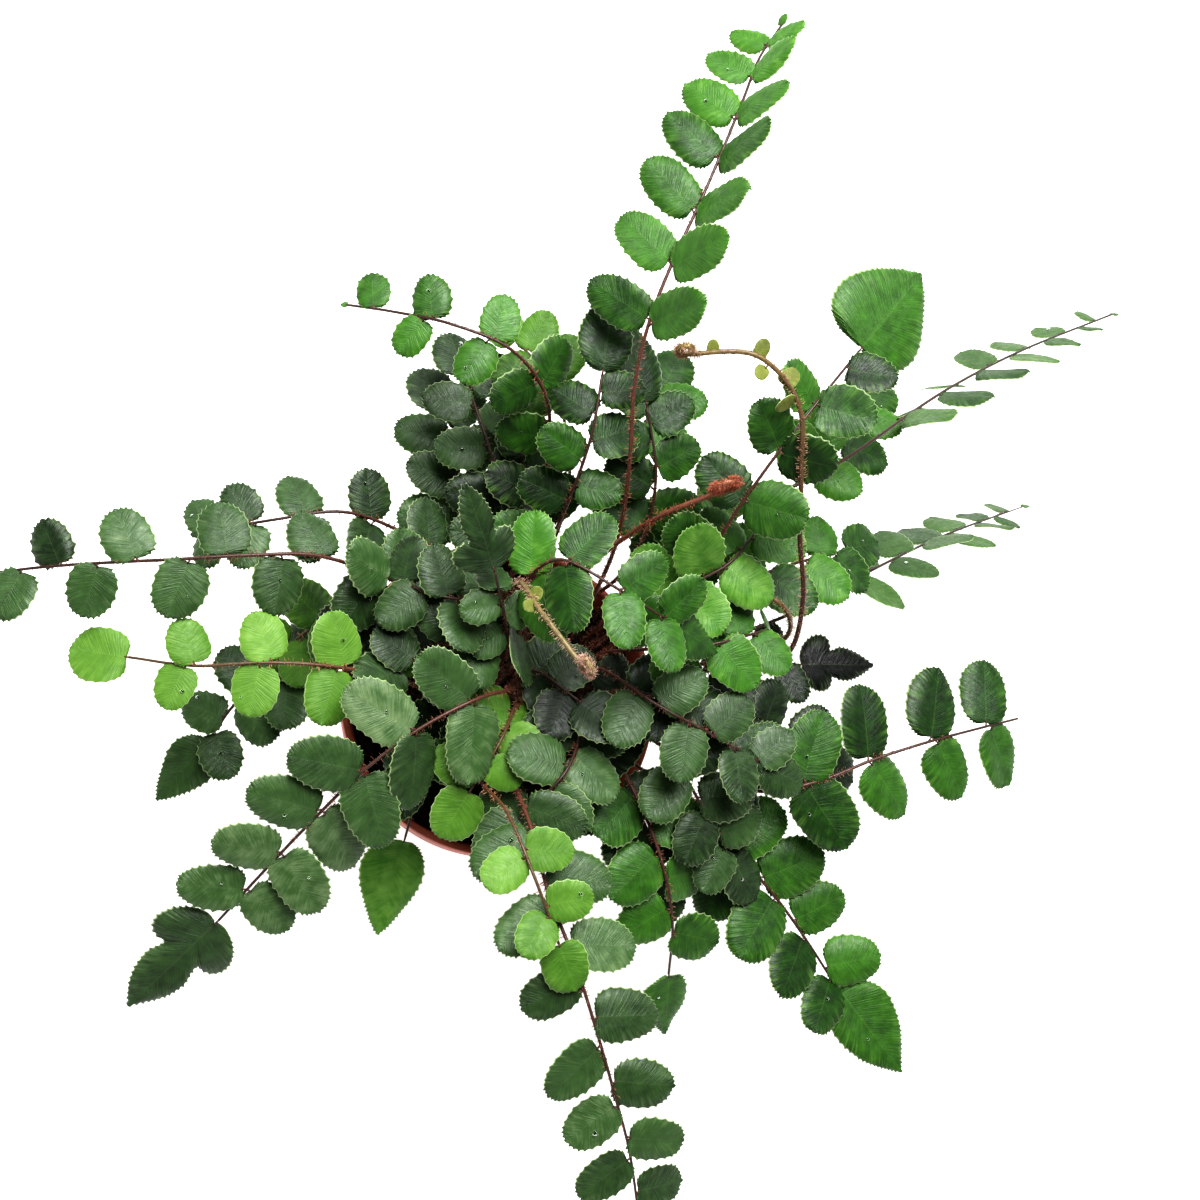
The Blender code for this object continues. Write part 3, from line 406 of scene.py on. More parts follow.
# The curled heads: a big one winds further, and each winds in to less than half its radius
BIG_COIL = 4.0
BIG_WINDS = 1.25
SMALL_WINDS = 0.75
COIL_SHRINK = 0.55
COIL_STEPS = 8


def flat_unit(vector):
    """The level direction of a vector."""
    return Vector((vector.x, vector.y, 0.0)).normalized()


def coil_points(rings, radius):
    """The curled head of an unrolling frond, as points that wind inwards in a level turn."""
    along = (rings[-1] - rings[-2]).normalized()
    side = Vector((-along.y, along.x, 0.0)).normalized()
    down = side.cross(along).normalized()
    centre = rings[-1] + down * -radius
    points = []
    winds = BIG_WINDS if radius > BIG_COIL else SMALL_WINDS
    steps = round(COIL_STEPS * winds)
    for i in range(1, steps + 1):
        angle = math.tau * winds * i / steps
        size = radius * (1.0 - COIL_SHRINK * i / steps)
        points.append(centre + down * (size * math.cos(angle)) + along * (size * math.sin(angle)))
    return points


class Stem:
    """A stem's rings: places, directions and radii from its foot to its tip."""

    def __init__(self, frond, route):
        curve = smooth_curve(route)
        lengths = running_length(curve)
        total = lengths[-1]
        count = max(2, round((total - FOOT_DEPTH - FOOT_RISE) / RING_STEP))
        start = FOOT_DEPTH + FOOT_RISE
        marks = [0.0] + [start + (total - start) * i / count for i in range(count + 1)]
        self.rings = [point_at(curve, lengths, mark) for mark in marks]
        if frond.end == "coil":
            self.rings += coil_points(self.rings, frond.end_size)
        self.roll = math.radians(frond.roll)
        self.marks = running_length(self.rings)
        self.length = self.marks[-1]
        self.reach = total
        self.heading = flat_unit(Vector(route[-1]) - Vector(route[1]))
        self.coil_side = self.frame(self.reach - 1.0)[1]

    def radius(self, mark):
        """The stem's radius at a distance from its foot."""
        return STEM_BASE + (STEM_TIP - STEM_BASE) * mark / self.length

    def place(self, mark):
        """The stem's centre at a distance from its foot."""
        return point_at(self.rings, self.marks, mark)

    def frame(self, mark):
        """The stem's direction, its left side and its upper side at a distance."""
        if mark > self.reach:
            ahead = self.place(min(mark + COIL_AHEAD, self.length))
            along = (ahead - self.place(mark - COIL_AHEAD)).normalized()
            side = (self.coil_side - along * self.coil_side.dot(along)).normalized()
            return along, side, along.cross(side)
        ahead = self.place(min(mark + LOOK_AHEAD, self.length))
        behind = self.place(max(mark - LOOK_AHEAD, 0.0))
        along = (ahead - behind).normalized()
        level = Vector((along.x, along.y, 0.0)) + HEADING_PULL * self.heading
        side = Vector((-level.y, level.x, 0.0))
        side = (side - along * side.dot(along)).normalized()
        upper = along.cross(side)
        turn = Matrix.Rotation(self.roll, 3, along)
        return along, turn @ side, turn @ upper


print("stem, from foot to tip:", 2 * STEM_BASE, "to", 2 * STEM_TIP, "mm thick")

# %% [markdown]
# ## Stems in space
# Every stem stands in its own hole in the peat and rises more upright than the straight line to
# its first planned point. Where two stems would touch, the later one is bent aside by the least
# shift that clears it. The same steps made the solids, so the finer stems made here run exactly
# inside them.

# %% Stems in space
# The peat's height, how upright a stem's foot is, the distance between stems and between the
# points of their test lines in millimetres, and the shifts to try
SOIL_TOP = 81.0
FOOT_UPRIGHT = 1.8
STEM_CLEAR = 3.1
LINE_STEP = 4.0
FAR_AWAY = 1000.0
SHIFT_SIZES = (1.5, 3.0, 4.5, 6.0, 8.0, 10.0)
SHIFT_TURNS = 8


def whole_route(frond):
    """The stem's route with its foot in the peat."""
    x, y = frond.foot
    first = Vector(frond.route[0])
    lean = (first - Vector((x, y, SOIL_TOP))).normalized()
    lean = (lean + Vector((0.0, 0.0, FOOT_UPRIGHT))).normalized()
    surface = Vector((x, y, SOIL_TOP))
    bottom = surface - lean * FOOT_DEPTH
    above = surface + lean * FOOT_RISE
    return [tuple(bottom), tuple(above)] + list(frond.route)


def fine_line(stem):
    """A stem's centre line with points close together."""
    count = int(stem.length / LINE_STEP)
    return [stem.place(stem.length * i / count) for i in range(count + 1)]


def line_gap(first, second):
    """The least distance from the points of one line to the other line."""
    least = FAR_AWAY
    for a in first:
        for b, c in zip(second, second[1:]):
            span = c - b
            share = min(max((a - b).dot(span) / span.length_squared, 0.0), 1.0)
            least = min(least, (a - b - span * share).length)
    return least


def near(first, second):
    """Whether two lines' boxes come within the stems' clearance."""
    for axis in range(3):
        low = max(min(p[axis] for p in first), min(p[axis] for p in second))
        high = min(max(p[axis] for p in first), max(p[axis] for p in second))
        if low - high > STEM_CLEAR:
            return False
    return True


def shifts():
    """Small moves to try, the least first."""
    yield (0.0, 0.0, 0.0)
    for size in SHIFT_SIZES:
        for turn in range(SHIFT_TURNS):
            angle = math.tau * turn / SHIFT_TURNS
            yield (size * math.cos(angle), size * math.sin(angle), 0.0)
        yield (0.0, 0.0, size)
        yield (0.0, 0.0, -size)


def clear_stem(frond, lines):
    """The frond's stem, with its inner route points moved aside where it would touch another."""
    route = whole_route(frond)
    best = None
    for shift in shifts():
        moved = [Vector(p) for p in route]
        for i in range(2, len(moved) - 1):
            share = 0.5 if i == 2 and len(moved) > 4 else 1.0
            moved[i] = moved[i] + Vector(shift) * share
        stem = Stem(frond, [tuple(p) for p in moved])
        line = fine_line(stem)
        gap = min([line_gap(line, other) for other in lines if near(line, other)] or [FAR_AWAY])
        if best is None or gap > best[0]:
            best = (gap, stem, line)
        if gap > STEM_CLEAR:
            break
    return best[1], best[2]


def make_stems():
    """A stem for each frond, bent clear of those before it."""
    stems = {}
    lines = []
    for frond in FRONDS:
        stem, line = clear_stem(frond, lines)
        stems[frond.name] = stem
        lines.append(line)
    return stems


stems = make_stems()
print("stems:", len(stems), "total length", round(sum(s.length for s in stems.values())), "mm")

# %% [markdown]
# ## A plain leaflet
# While the leaflets are being placed, each one is a flat blade with a few rows across it. It is
# round, kite-shaped, broad, three-lobed or a small bud. The fine, toothed leaflet could be used
# here as well, but hundreds of trials against hundreds of neighbours would take far longer. It
# is made later, within the form that was found here.

# %% Plain leaflet
# The blade's thickness and half the width of its stalk; shorter round leaflets have fewer rows
BLADE_THICKNESS = 0.7
STALK_HALF = 0.4
SMALL_LEAF = 14.0
Blade = namedtuple("Blade", "kind length wide root along across upper bend")

# The half width of a three-lobed end leaf along its length, both as shares of its length
LOBES = ((0.0, 0.03), (0.12, 0.13), (0.26, 0.27), (0.40, 0.31), (0.45, 0.15), (0.62, 0.175),
         (0.84, 0.10), (1.0, 0.01))

# Where the rows across a blade lie, as shares of its length
STATIONS = {
    "small": (0.24, 0.86),
    "round": (0.17, 0.60, 0.975),
    "kite": (0.12, 0.32, 0.66, 0.985),
    "broad": (0.12, 0.42, 0.72, 0.985),
    "bud": (0.3, 0.97),
    "lobed": (0.12, 0.26, 0.40, 0.45, 0.62, 0.84, 0.985),
}


def half_width(kind, wide, share):
    """A blade's half width as a share of its length, at a share of its length."""
    if kind in ("kite", "bud", "broad"):
        widest = 0.42 if kind == "broad" else 0.32
        if share < widest:
            return wide / 2 * (share / widest) ** 0.55
        return wide / 2 * (1.0 - (share - widest) / (1.0 - widest)) ** 0.8 + 0.015
    if kind == "lobed":
        for (low, first), (high, second) in zip(LOBES, LOBES[1:]):
            if share <= high:
                return first + (second - first) * (share - low) / (high - low)
    return wide / 2 * math.sin(math.pi * min(share, 0.999) ** 0.85) ** 0.58


def blade_rows(blade, grow=0.0, start=0.0):
    """Rows across a blade from its root: how far along, half width and drop, in millimetres."""
    kind = blade.kind
    if kind == "round" and blade.length < SMALL_LEAF:
        kind = "small"
    rows = []
    if start == 0.0:
        rows.append((0.0, STALK_HALF))
    for share in STATIONS[kind]:
        if share > start:
            rows.append((share, half_width(blade.kind, blade.wide, share) * blade.length))
    if start:
        rows.insert(0, (start, half_width(blade.kind, blade.wide, start) * blade.length * 0.9))
    length = blade.length
    return [(share * length + (grow if share > 0.9 else 0.0), half + grow,
             -blade.bend * length * share * share) for share, half in rows]


def band_faces(rings, corners):
    """The four-sided faces between rings of points that follow one another."""
    faces = []
    for low in range(0, (rings - 1) * corners, corners):
        for corner in range(corners):
            a, b = low + corner, low + (corner + 1) % corners
            faces.append((a, b, b + corners, a + corners))
    return faces


def blade_shape(blade, grow=0.0, start=0.0):
    """Points and faces of a blade: level rows joined by flat faces, alike on both sides."""
    thick = BLADE_THICKNESS / 2 + grow
    points = []
    for forward, half, drop in blade_rows(blade, grow, start):
        centre = blade.root + blade.along * forward + blade.upper * drop
        for out, up in ((half, thick), (-half, thick), (-half, -thick), (half, -thick)):
            points.append(centre + blade.across * out + blade.upper * up)
    faces = band_faces(len(points) // 4, 4)
    faces.append((0, 1, 2, 3))
    last = len(points) - 4
    faces.append((last, last + 1, last + 2, last + 3))
    return points, faces


print("blade forms:", ", ".join(STATIONS))

# %% [markdown]
# ## Free space
# Leaves can't pass through one another, through the stems or through the pot. Every shape that
# has its place is kept in a tree of boxes, which tells quickly whether a new shape crosses it.
# Only the shapes near the new one are asked, and a ball round each shape decides which those are.

# %% Free space
# The pot and the peat, how far a leaflet stays off them, in millimetres, and the number of a
# plain stem's sides
POT_HEIGHT = 90.0
RIM_RADIUS = 52.5
SOIL_LUMP = 1.6
POT_CLEAR = 2.0
RIM_CLEAR = 1.2
SOIL_CLEAR = 1.0
SOIL_REACH = 46.0
GROUND_CLEAR = 4.0
STEM_SIDES = 3


def tube(stem, grow):
    """Points and faces of a stem's tube, three sided, with its radius grown by a margin."""
    points = []
    for place, mark in zip(stem.rings, stem.marks):
        _, side, upper = stem.frame(mark)
        for corner in range(STEM_SIDES):
            angle = math.tau * (corner / STEM_SIDES + 0.25)
            out = side * math.cos(angle) + upper * math.sin(angle)
            points.append(place + out * (stem.radius(mark) + grow))
    faces = band_faces(len(stem.rings), STEM_SIDES)
    faces.append(tuple(range(STEM_SIDES)))
    faces.append(tuple(range(len(points) - STEM_SIDES, len(points))))
    return points, faces


def outside_pot(points):
    """Whether a shape's points are all clear of the pot, the peat and the floor."""
    for p in points:
        radius = math.hypot(p.x, p.y)
        if p.z < GROUND_CLEAR:
            return False
        if radius < RIM_RADIUS + POT_CLEAR:
            over_soil = SOIL_TOP + SOIL_LUMP + SOIL_CLEAR
            floor = over_soil if radius < SOIL_REACH else POT_HEIGHT + RIM_CLEAR
            if p.z < floor:
                return False
    return True


def ball(points):
    """A ball that holds a shape's points."""
    centre = sum(points, Vector()) / len(points)
    return centre, max((p - centre).length for p in points)


class Space:
    """The shapes placed so far, for testing whether a new one is clear of them."""

    def __init__(self):
        self.items = []

    def add(self, owner, points, faces):
        """Keeps a shape."""
        centre, reach = ball(points)
        self.items.append((owner, centre, reach, BVHTree.FromPolygons(points, faces)))

    def clear(self, owner, guard, whole):
        """Whether a blade's guarded part crosses nothing, and its whole nothing of the others."""
        centre, reach = ball(guard[0] + whole[0])
        guarded = BVHTree.FromPolygons(*guard)
        full = BVHTree.FromPolygons(*whole)
        for holder, other, far, kept in self.items:
            if (centre - other).length > reach + far:
                continue
            if guarded.overlap(kept) or (holder != owner and full.overlap(kept)):
                return False
        return True


print("a leaflet stays", RIM_CLEAR, "mm above the rim")

# %% [markdown]
# ## Placing the leaflets
# Leaflets stand in pairs along the stem and turn their faces to the light. Each one is tried in
# its natural place first, and is then turned or shrunk a little until it crosses nothing. A rule
# like this is how crowded leaves behave on the plant too: they twist on their short stalks until
# each finds its own gap.

# %% Leaflet places
# Their angle to the stem, how soon they reach full size, how the end leaflet sits on the stem
# and how wide it is, and the gaps in millimetres that all of them keep
LEAFLET_ANGLE = 66.0
SIZE_GAIN = 0.26
END_OVERLAP = 0.4
END_WIDE = {"round": 0.9, "kite": 0.6, "broad": 0.86, "lobed": 0.62, "bud": 0.6}
GAP = 0.3
BLADE_CLEAR = 0.45
GUARD_START = 0.2

# How much they differ by chance, how far one may turn aside or shrink to stay clear, and how
# much a twist or a shrink counts beside a lift or a swing
MARK_SPREAD = (-0.8, 0.8)
SIZE_SPREAD = (0.93, 1.07)
LIFT_SPREAD = (-6, 10)
TWIST_SPREAD = (-12, 12)
SWING_SPREAD = (-7, 7)
BEND_SPREAD = (0.02, 0.12)
LIFTS = (0, 14, -14, 28, -28, 44, -44, 60, -60)
TWISTS = (0, 22, -22, 44, -44)
SWINGS = (0, 16, -16)
SHRINKS = (1.0, 0.84, 0.7)
TWIST_COST = 0.8
SHRINK_COST = 160


def blade_at(stem, mark, side, kind, length, wide, light, lift, twist, swing, bend):
    """A blade that stands out from one side of the stem, turned to the light and a little aside."""
    along, left, upper = stem.frame(mark)
    angle = math.radians(LEAFLET_ANGLE + swing) if side else 0.0
    out = along * math.cos(angle) + left * (side * math.sin(angle))
    out = Vector((out.x, out.y, out.z * (1.0 - 0.6 * light))).normalized()
    hinge = upper.cross(out).normalized()
    out = Matrix.Rotation(math.radians(-lift), 3, hinge) @ out
    face = upper.lerp(Vector((0.0, 0.0, 1.0)), light)
    face = (face - out * face.dot(out)).normalized()
    face = Matrix.Rotation(math.radians(twist), 3, out) @ face
    return Blade(kind, length, wide, stem.place(mark), out, face.cross(out), face, bend)


def leaflet_marks(frond, stem):
    """Where a frond's leaflets stand: distance from the foot, side and length."""
    draw = random.Random(frond.name)
    marks = []
    for pair in range(frond.pairs):
        back = frond.pitch * (pair + frond.growth * pair * (pair - 1) / 2)
        gain = math.sin(math.pi / 2 * min(1.0, SIZE_GAIN * pair))
        size = frond.tip + (1.0 - frond.tip) * gain
        for side, start in zip((1, -1), frond.starts):
            mark = stem.reach - start - back + draw.uniform(*MARK_SPREAD)
            marks.append((mark, side, frond.leaf * size * draw.uniform(*SIZE_SPREAD)))
    return marks


def turns():
    """Ways to turn a leaflet aside, the least first."""
    ways = [(lift, twist, swing, shrink) for shrink in SHRINKS for lift in LIFTS
            for twist in TWISTS for swing in SWINGS]
    return sorted(ways, key=lambda way: (abs(way[0]) + TWIST_COST * abs(way[1]) + abs(way[2])
                                         + SHRINK_COST * (1 - way[3])))


def fit_blade(space, frond, stem, mark, side, kind, length, wide, draw):
    """The least turned blade that is clear of everything, or None."""
    lift = draw.uniform(*LIFT_SPREAD)
    twist = draw.uniform(*TWIST_SPREAD)
    swing = draw.uniform(*SWING_SPREAD)
    bend = draw.uniform(*BEND_SPREAD)
    for more_lift, more_twist, more_swing, shrink in turns():
        blade = blade_at(stem, mark, side, kind, length * shrink, wide, frond.light,
                         frond.lift + lift + more_lift, twist + more_twist,
                         swing + more_swing, bend)
        guard = blade_shape(blade, BLADE_CLEAR, GUARD_START)
        whole = blade_shape(blade, GAP)
        if outside_pot(guard[0]) and space.clear(frond.name, guard, whole):
            space.add(frond.name, *blade_shape(blade))
            return blade
    return None


def make_blades(stems):
    """Every frond's blades, placed one after another clear of what is there."""
    space = Space()
    for frond in FRONDS:
        space.add(frond.name, *tube(stems[frond.name], GAP))
    blades = {frond.name: [] for frond in FRONDS}
    for frond in FRONDS:
        if frond.end in END_WIDE:
            stem = stems[frond.name]
            draw = random.Random(frond.name + " end")
            blade = fit_blade(space, frond, stem, stem.length - END_OVERLAP, 0, frond.end,
                              float(frond.end_size), END_WIDE[frond.end], draw)
            if blade:
                blades[frond.name].append(blade)
    for frond in FRONDS:
        stem = stems[frond.name]
        draw = random.Random(frond.name + " leaflets")
        kind = "bud" if frond.end == "coil" else "round"
        for mark, side, length in leaflet_marks(frond, stem):
            blade = fit_blade(space, frond, stem, mark, side, kind, length, frond.wide, draw)
            if blade:
                blades[frond.name].append(blade)
    return blades


blades = make_blades(stems)
print("leaflets placed:", sum(len(group) for group in blades.values()))

# %% [markdown]
# ## Helpers for surfaces
# A procedural surface is a chain of small nodes. These helpers add one node at a time and join
# its inputs, so that each finish below reads as a short list of steps. Three numbers are stored
# on every leaflet's points: how far to its left or right edge, which vein, and the leaflet's tone.

# %% Node helpers
class Surface:
    """A material whose nodes are added one by one."""

    def __init__(self, name):
        self.material = bpy.data.materials.new(name)
        self.material.use_nodes = True
        self.tree = self.material.node_tree
        self.shader = self.tree.nodes["Principled BSDF"]

    def node(self, kind, **settings):
        """Adds a node and sets its properties."""
        made = self.tree.nodes.new(kind)
        for name, value in settings.items():
            setattr(made, name, value)
        return made

    def join(self, source, socket):
        """Joins an output, or sets a plain value, on an input."""
        if isinstance(source, (int, float, tuple)):
            socket.default_value = source
        else:
            self.tree.links.new(source, socket)

    def stored(self, name):
        """A number that is stored on the mesh."""
        return self.node("ShaderNodeAttribute", attribute_name=name).outputs["Fac"]

    def math(self, operation, first, second=0.0):
        """One step of arithmetic."""
        made = self.node("ShaderNodeMath", operation=operation)
        self.join(first, made.inputs[0])
        self.join(second, made.inputs[1])
        return made.outputs[0]

    def swayed(self, value, pattern, amount):
        """A value that a noise pattern moves up and down."""
        swing = self.math("MULTIPLY", self.math("SUBTRACT", pattern, 0.5), amount)
        return self.math("ADD", value, swing)

    def ranged(self, value, low, high, to_low=0.0, to_high=1.0):
        """A value moved from one range to another, smoothly."""
        made = self.node("ShaderNodeMapRange", interpolation_type="SMOOTHSTEP")
        self.join(value, made.inputs["Value"])
        for name, number in (("From Min", low), ("From Max", high),
                             ("To Min", to_low), ("To Max", to_high)):
            made.inputs[name].default_value = number
        return made.outputs["Result"]

    def blend(self, share, first, second):
        """A colour between two colours."""
        made = self.node("ShaderNodeMix", data_type="RGBA")
        self.join(share, made.inputs["Factor"])
        self.join(first, made.inputs["A"])
        self.join(second, made.inputs["B"])
        return made.outputs["Result"]

    def ramp(self, value, stops):
        """A colour picked along a row of places and colours."""
        made = self.node("ShaderNodeValToRGB")
        bar = made.color_ramp.elements
        while len(bar) < len(stops):
            bar.new(0.5)
        for element, (place, colour) in zip(bar, stops):
            element.position = place
            element.color = colour
        self.join(value, made.inputs["Fac"])
        return made.outputs["Color"]

    def clouds(self, place, scale, detail):
        """Soft noise at a place."""
        made = self.node("ShaderNodeTexNoise")
        self.join(place, made.inputs["Vector"])
        made.inputs["Scale"].default_value = scale
        made.inputs["Detail"].default_value = detail
        return made.outputs["Fac"]

    def streaks(self, fine, reach):
        """Noise drawn out along the veins, different on the two halves of each leaflet."""
        place = self.node("ShaderNodeCombineXYZ")
        self.join(self.math("MULTIPLY", self.stored("vein"), fine), place.inputs["X"])
        self.join(self.math("MULTIPLY", self.stored("side"), reach), place.inputs["Y"])
        self.join(self.math("MULTIPLY", self.stored("tone"), 37.0), place.inputs["Z"])
        return self.clouds(place.outputs["Vector"], 1.0, 3.0)

    def speckle(self, scale, detail=3.0):
        """A noise pattern in real size: scale is about the number of patches in a metre."""
        return self.clouds(self.node("ShaderNodeTexCoord").outputs["Object"], scale, detail)

    def colour(self, colour):
        """Gives the surface its colour."""
        self.join(colour, self.shader.inputs["Base Color"])

    def roughen(self, pattern, low, high):
        """Roughness that follows a noise pattern, between two values."""
        self.join(self.ranged(pattern, 0.3, 0.7, low, high), self.shader.inputs["Roughness"])

    def relief(self, height, strength, depth):
        """A bump from a height, with its depth in millimetres."""
        made = self.node("ShaderNodeBump")
        made.inputs["Strength"].default_value = strength
        made.inputs["Distance"].default_value = depth * MM
        self.join(height, made.inputs["Height"])
        self.join(made.outputs["Normal"], self.shader.inputs["Normal"])


def shade(red, green, blue):
    """A colour from its screen values, 0 to 255."""
    parts = [v / 255.0 for v in (red, green, blue)]
    return tuple(v / 12.92 if v < 0.04045 else ((v + 0.055) / 1.055) ** 2.4
                 for v in parts) + (1.0,)


print("node helpers:", len([name for name in vars(Surface) if name[0] != "_"]))

# %% [markdown]
# ## The leaflet's surface
# A button fern leaflet is leathery. Old ones are dark green with a pale, waxy sheen, and young
# ones are bright yellow green. Fine veins fan out to the edge and leave the skin finely ribbed
# between them, and the teeth carry a thin pale rim. The ribs are noise drawn out along the vein
# numbers on the mesh, so they follow each leaflet's own form, which a flat pattern could not do.

# %% Leaf finish
# Four tones an age, from the deepest to the palest
LEAF_TONES = {
    "old": (shade(7, 11, 7), shade(28, 46, 22), shade(62, 90, 48), shade(108, 128, 90)),
    "mid": (shade(11, 22, 8), shade(28, 60, 14), shade(66, 114, 34), shade(108, 148, 66)),
    "young": (shade(34, 62, 16), shade(68, 108, 30), shade(100, 140, 54), shade(130, 164, 82)),
    "pale": (shade(22, 38, 18), shade(40, 66, 30), shade(70, 100, 50), shade(104, 130, 80)),
    "crozier": (shade(44, 50, 20), shade(78, 86, 34), shade(112, 120, 52), shade(140, 140, 80)),
}
RIM_TONE = shade(196, 214, 160)
TONE_STOPS = (0.0, 0.3, 0.75, 1.0)

# The mottle's and the grain's patches in a metre, the ribs to a vein and how fast they change
# along it, how far mottle and ribs move the tone, the sheen and the roughness
MOTTLE_SCALE = 260.0
GRAIN_SCALE = 800.0
RIB_FINENESS = 4.6
RIB_REACH = 1.3
MOTTLE_SHARE = 0.55
RIB_SHARE = 0.32
LEAF_SHEEN = 0.38
LEAF_ROUGH = {"old": 0.40, "mid": 0.42, "young": 0.50, "pale": 0.5, "crozier": 0.6}
ROUGH_SPREAD = (-0.08, 0.12)


def leaf_finish(age):
    """The upper side of a leaflet: tone, mottling, ribs, pale rim and relief."""
    pale = LEAF_TONES[age][-1]
    made = Surface("leaf_" + age)
    edge = made.math("ABSOLUTE", made.stored("side"))
    ribs = made.streaks(RIB_FINENESS, RIB_REACH)
    mottle = made.speckle(MOTTLE_SCALE, 4.0)
    tone = made.swayed(made.stored("tone"), mottle, MOTTLE_SHARE)
    tone = made.swayed(tone, ribs, RIB_SHARE)
    colour = made.ramp(tone, tuple(zip(TONE_STOPS, LEAF_TONES[age])))
    outer = made.math("MULTIPLY", made.ranged(edge, 0.4, 0.95, 0.0, 0.4),
                      made.ranged(made.streaks(2.0, 1.0), 0.45, 0.7))
    colour = made.blend(outer, colour, pale)
    colour = made.blend(made.ranged(edge, 0.0, 0.05, 0.12, 0.0), colour, pale)
    colour = made.blend(made.ranged(edge, 0.95, 1.0, 0.0, 0.55), colour, RIM_TONE)
    made.colour(colour)
    fine = made.speckle(GRAIN_SCALE, 3.0)
    made.roughen(fine, *(LEAF_ROUGH[age] + spread for spread in ROUGH_SPREAD))
    made.shader.inputs["Specular IOR Level"].default_value = LEAF_SHEEN
    height = made.math("ADD", ribs, made.math("MULTIPLY", fine, 0.35))
    made.relief(height, 0.7, 0.3)
    return made.material


def underside_finish(age):
    """The lower side: paler and duller than the upper side."""
    _, dark, light, pale = LEAF_TONES[age]
    made = Surface("leaf_under_" + age)
    ribs = made.streaks(3.4, RIB_REACH)
    colour = made.ramp(made.speckle(500.0), ((0.2, dark), (0.5, light), (0.9, pale)))
    colour = made.blend(made.ranged(ribs, 0.5, 0.8, 0.0, 0.35), colour, shade(130, 152, 104))
    made.colour(colour)
    made.roughen(made.speckle(GRAIN_SCALE), 0.54, 0.70)
    made.relief(ribs, 0.6, 0.3)
    return made.material


leaf_finishes = {age: (leaf_finish(age), underside_finish(age)) for age in LEAF_TONES}
print("leaf finishes:", ", ".join(leaf_finishes))

# %% [markdown]
# ## One leaflet's outline
# Each outline below is half a leaflet, given by a few points: across as a share of its
# half width and along as a share of its length. The button leaflet is nearly round with a blunt
# base, the end leaflet of a frond is a kite, and some end leaflets are three-lobed. A smooth line
# through the points is then divided evenly, three steps to each tooth.

# %% Outlines
OUTLINES = {
    "round": ((0.05, 0.06), (0.40, 0.045), (0.76, 0.115), (0.97, 0.27), (1.0, 0.47),
              (0.93, 0.67), (0.72, 0.85), (0.40, 0.965), (0.012, 1.0)),
    "kite": ((0.06, 0.06), (0.38, 0.075), (0.78, 0.17), (1.0, 0.32), (0.97, 0.48),
             (0.76, 0.67), (0.44, 0.84), (0.17, 0.95), (0.012, 1.0)),
    "broad": ((0.05, 0.06), (0.48, 0.06), (0.84, 0.15), (1.0, 0.33), (0.93, 0.52),
              (0.70, 0.71), (0.40, 0.87), (0.15, 0.965), (0.012, 1.0)),
    "lobed": ((0.012, 0.05), (0.10, 0.045), (0.22, 0.10), (0.31, 0.20), (0.335, 0.31),
              (0.30, 0.395), (0.23, 0.425), (0.165, 0.415), (0.155, 0.47), (0.185, 0.57),
              (0.175, 0.68), (0.135, 0.81), (0.07, 0.925), (0.006, 1.0)),
}
SMOOTH_STEPS = 12


def even_line(points, count):
    """Evenly spaced points on a smooth line through given ones."""
    ends = np.array([points[0], *points, points[-1]], float)
    t = np.linspace(0.0, 1.0, SMOOTH_STEPS, endpoint=False)[:, None]
    spans = [(2 * b + (c - a) * t + (2 * a - 5 * b + 4 * c - d) * t**2
              + (3 * b - a - 3 * c + d) * t**3) / 2
             for a, b, c, d in zip(ends, ends[1:], ends[2:], ends[3:])]
    line = np.vstack([*spans, ends[-1:]])
    steps = np.linalg.norm(np.diff(line, axis=0), axis=1)
    run = np.concatenate([[0.0], np.cumsum(steps)])
    marks = np.linspace(0.0, run[-1], count)
    return np.stack([np.interp(marks, run, line[:, k]) for k in (0, 1)], axis=1)


print("outlines:", ", ".join(OUTLINES))

# %% [markdown]
# ## The leaflet's edge
# The edge of a real leaflet has some twenty to thirty small teeth that lean towards its tip.
# Each tooth takes three points of the outline: two low ones and a tip that is pushed outwards
# and forwards. The teeth are a little uneven and fade out at the stalk, and the whole outline
# waves a little, so that no two leaflets are alike. Teeth that are only painted on would leave
# a smooth rim against the light floor.

# %% Toothed edge
# How many teeth a millimetre of the leaflet's length has, the heights of a tooth's three points
# as shares of its height, how uneven the teeth are and how far they lean; then how far the
# whole outline swells and ripples
TEETH_PER_MM = 0.8
TOOTH_STEPS = np.array([0.0, 0.1, 1.0])
TOOTH_SPREAD = (0.55, 1.25)
TOOTH_LEAN = 0.3
SWELL = 0.07
RIPPLE = 0.03


def toothed_side(kind, wide, length, teeth, tooth, skew, draw):
    """One side of the outline in millimetres, with its teeth, from the base to the tip."""
    rows = 3 * teeth + 1
    line = even_line(OUTLINES[kind], rows)
    share = np.linspace(0.0, 1.0, rows)
    swell = 1.0 + skew + draw.uniform(-SWELL, SWELL) * np.sin(math.tau * share)
    swell += draw.uniform(0.0, RIPPLE) * np.sin(math.tau * 2.3 * share + draw.uniform(0.0, 6.0))
    line[:, 0] *= length * (1.0 if kind == "lobed" else wide / 2) * swell
    line[:, 1] *= length
    ahead = np.gradient(line, axis=0)
    ahead /= np.linalg.norm(ahead, axis=1)[:, None] + 1e-9
    outward = np.stack([ahead[:, 1], -ahead[:, 0]], axis=1)
    index = np.arange(rows)
    fade = np.clip((index / rows - 0.08) / 0.12, 0.0, 1.0)
    uneven = np.array([draw.uniform(*TOOTH_SPREAD) for _ in range(teeth + 1)])[index // 3]
    height = TOOTH_STEPS[index % 3] * tooth * uneven * fade * min(1.0, length / SMALL_LEAF)
    height[-1] = 0.0
    return line + (outward + TOOTH_LEAN * ahead) * height[:, None]


print("teeth on each side of a 20 mm leaflet:", round(20 * TEETH_PER_MM))

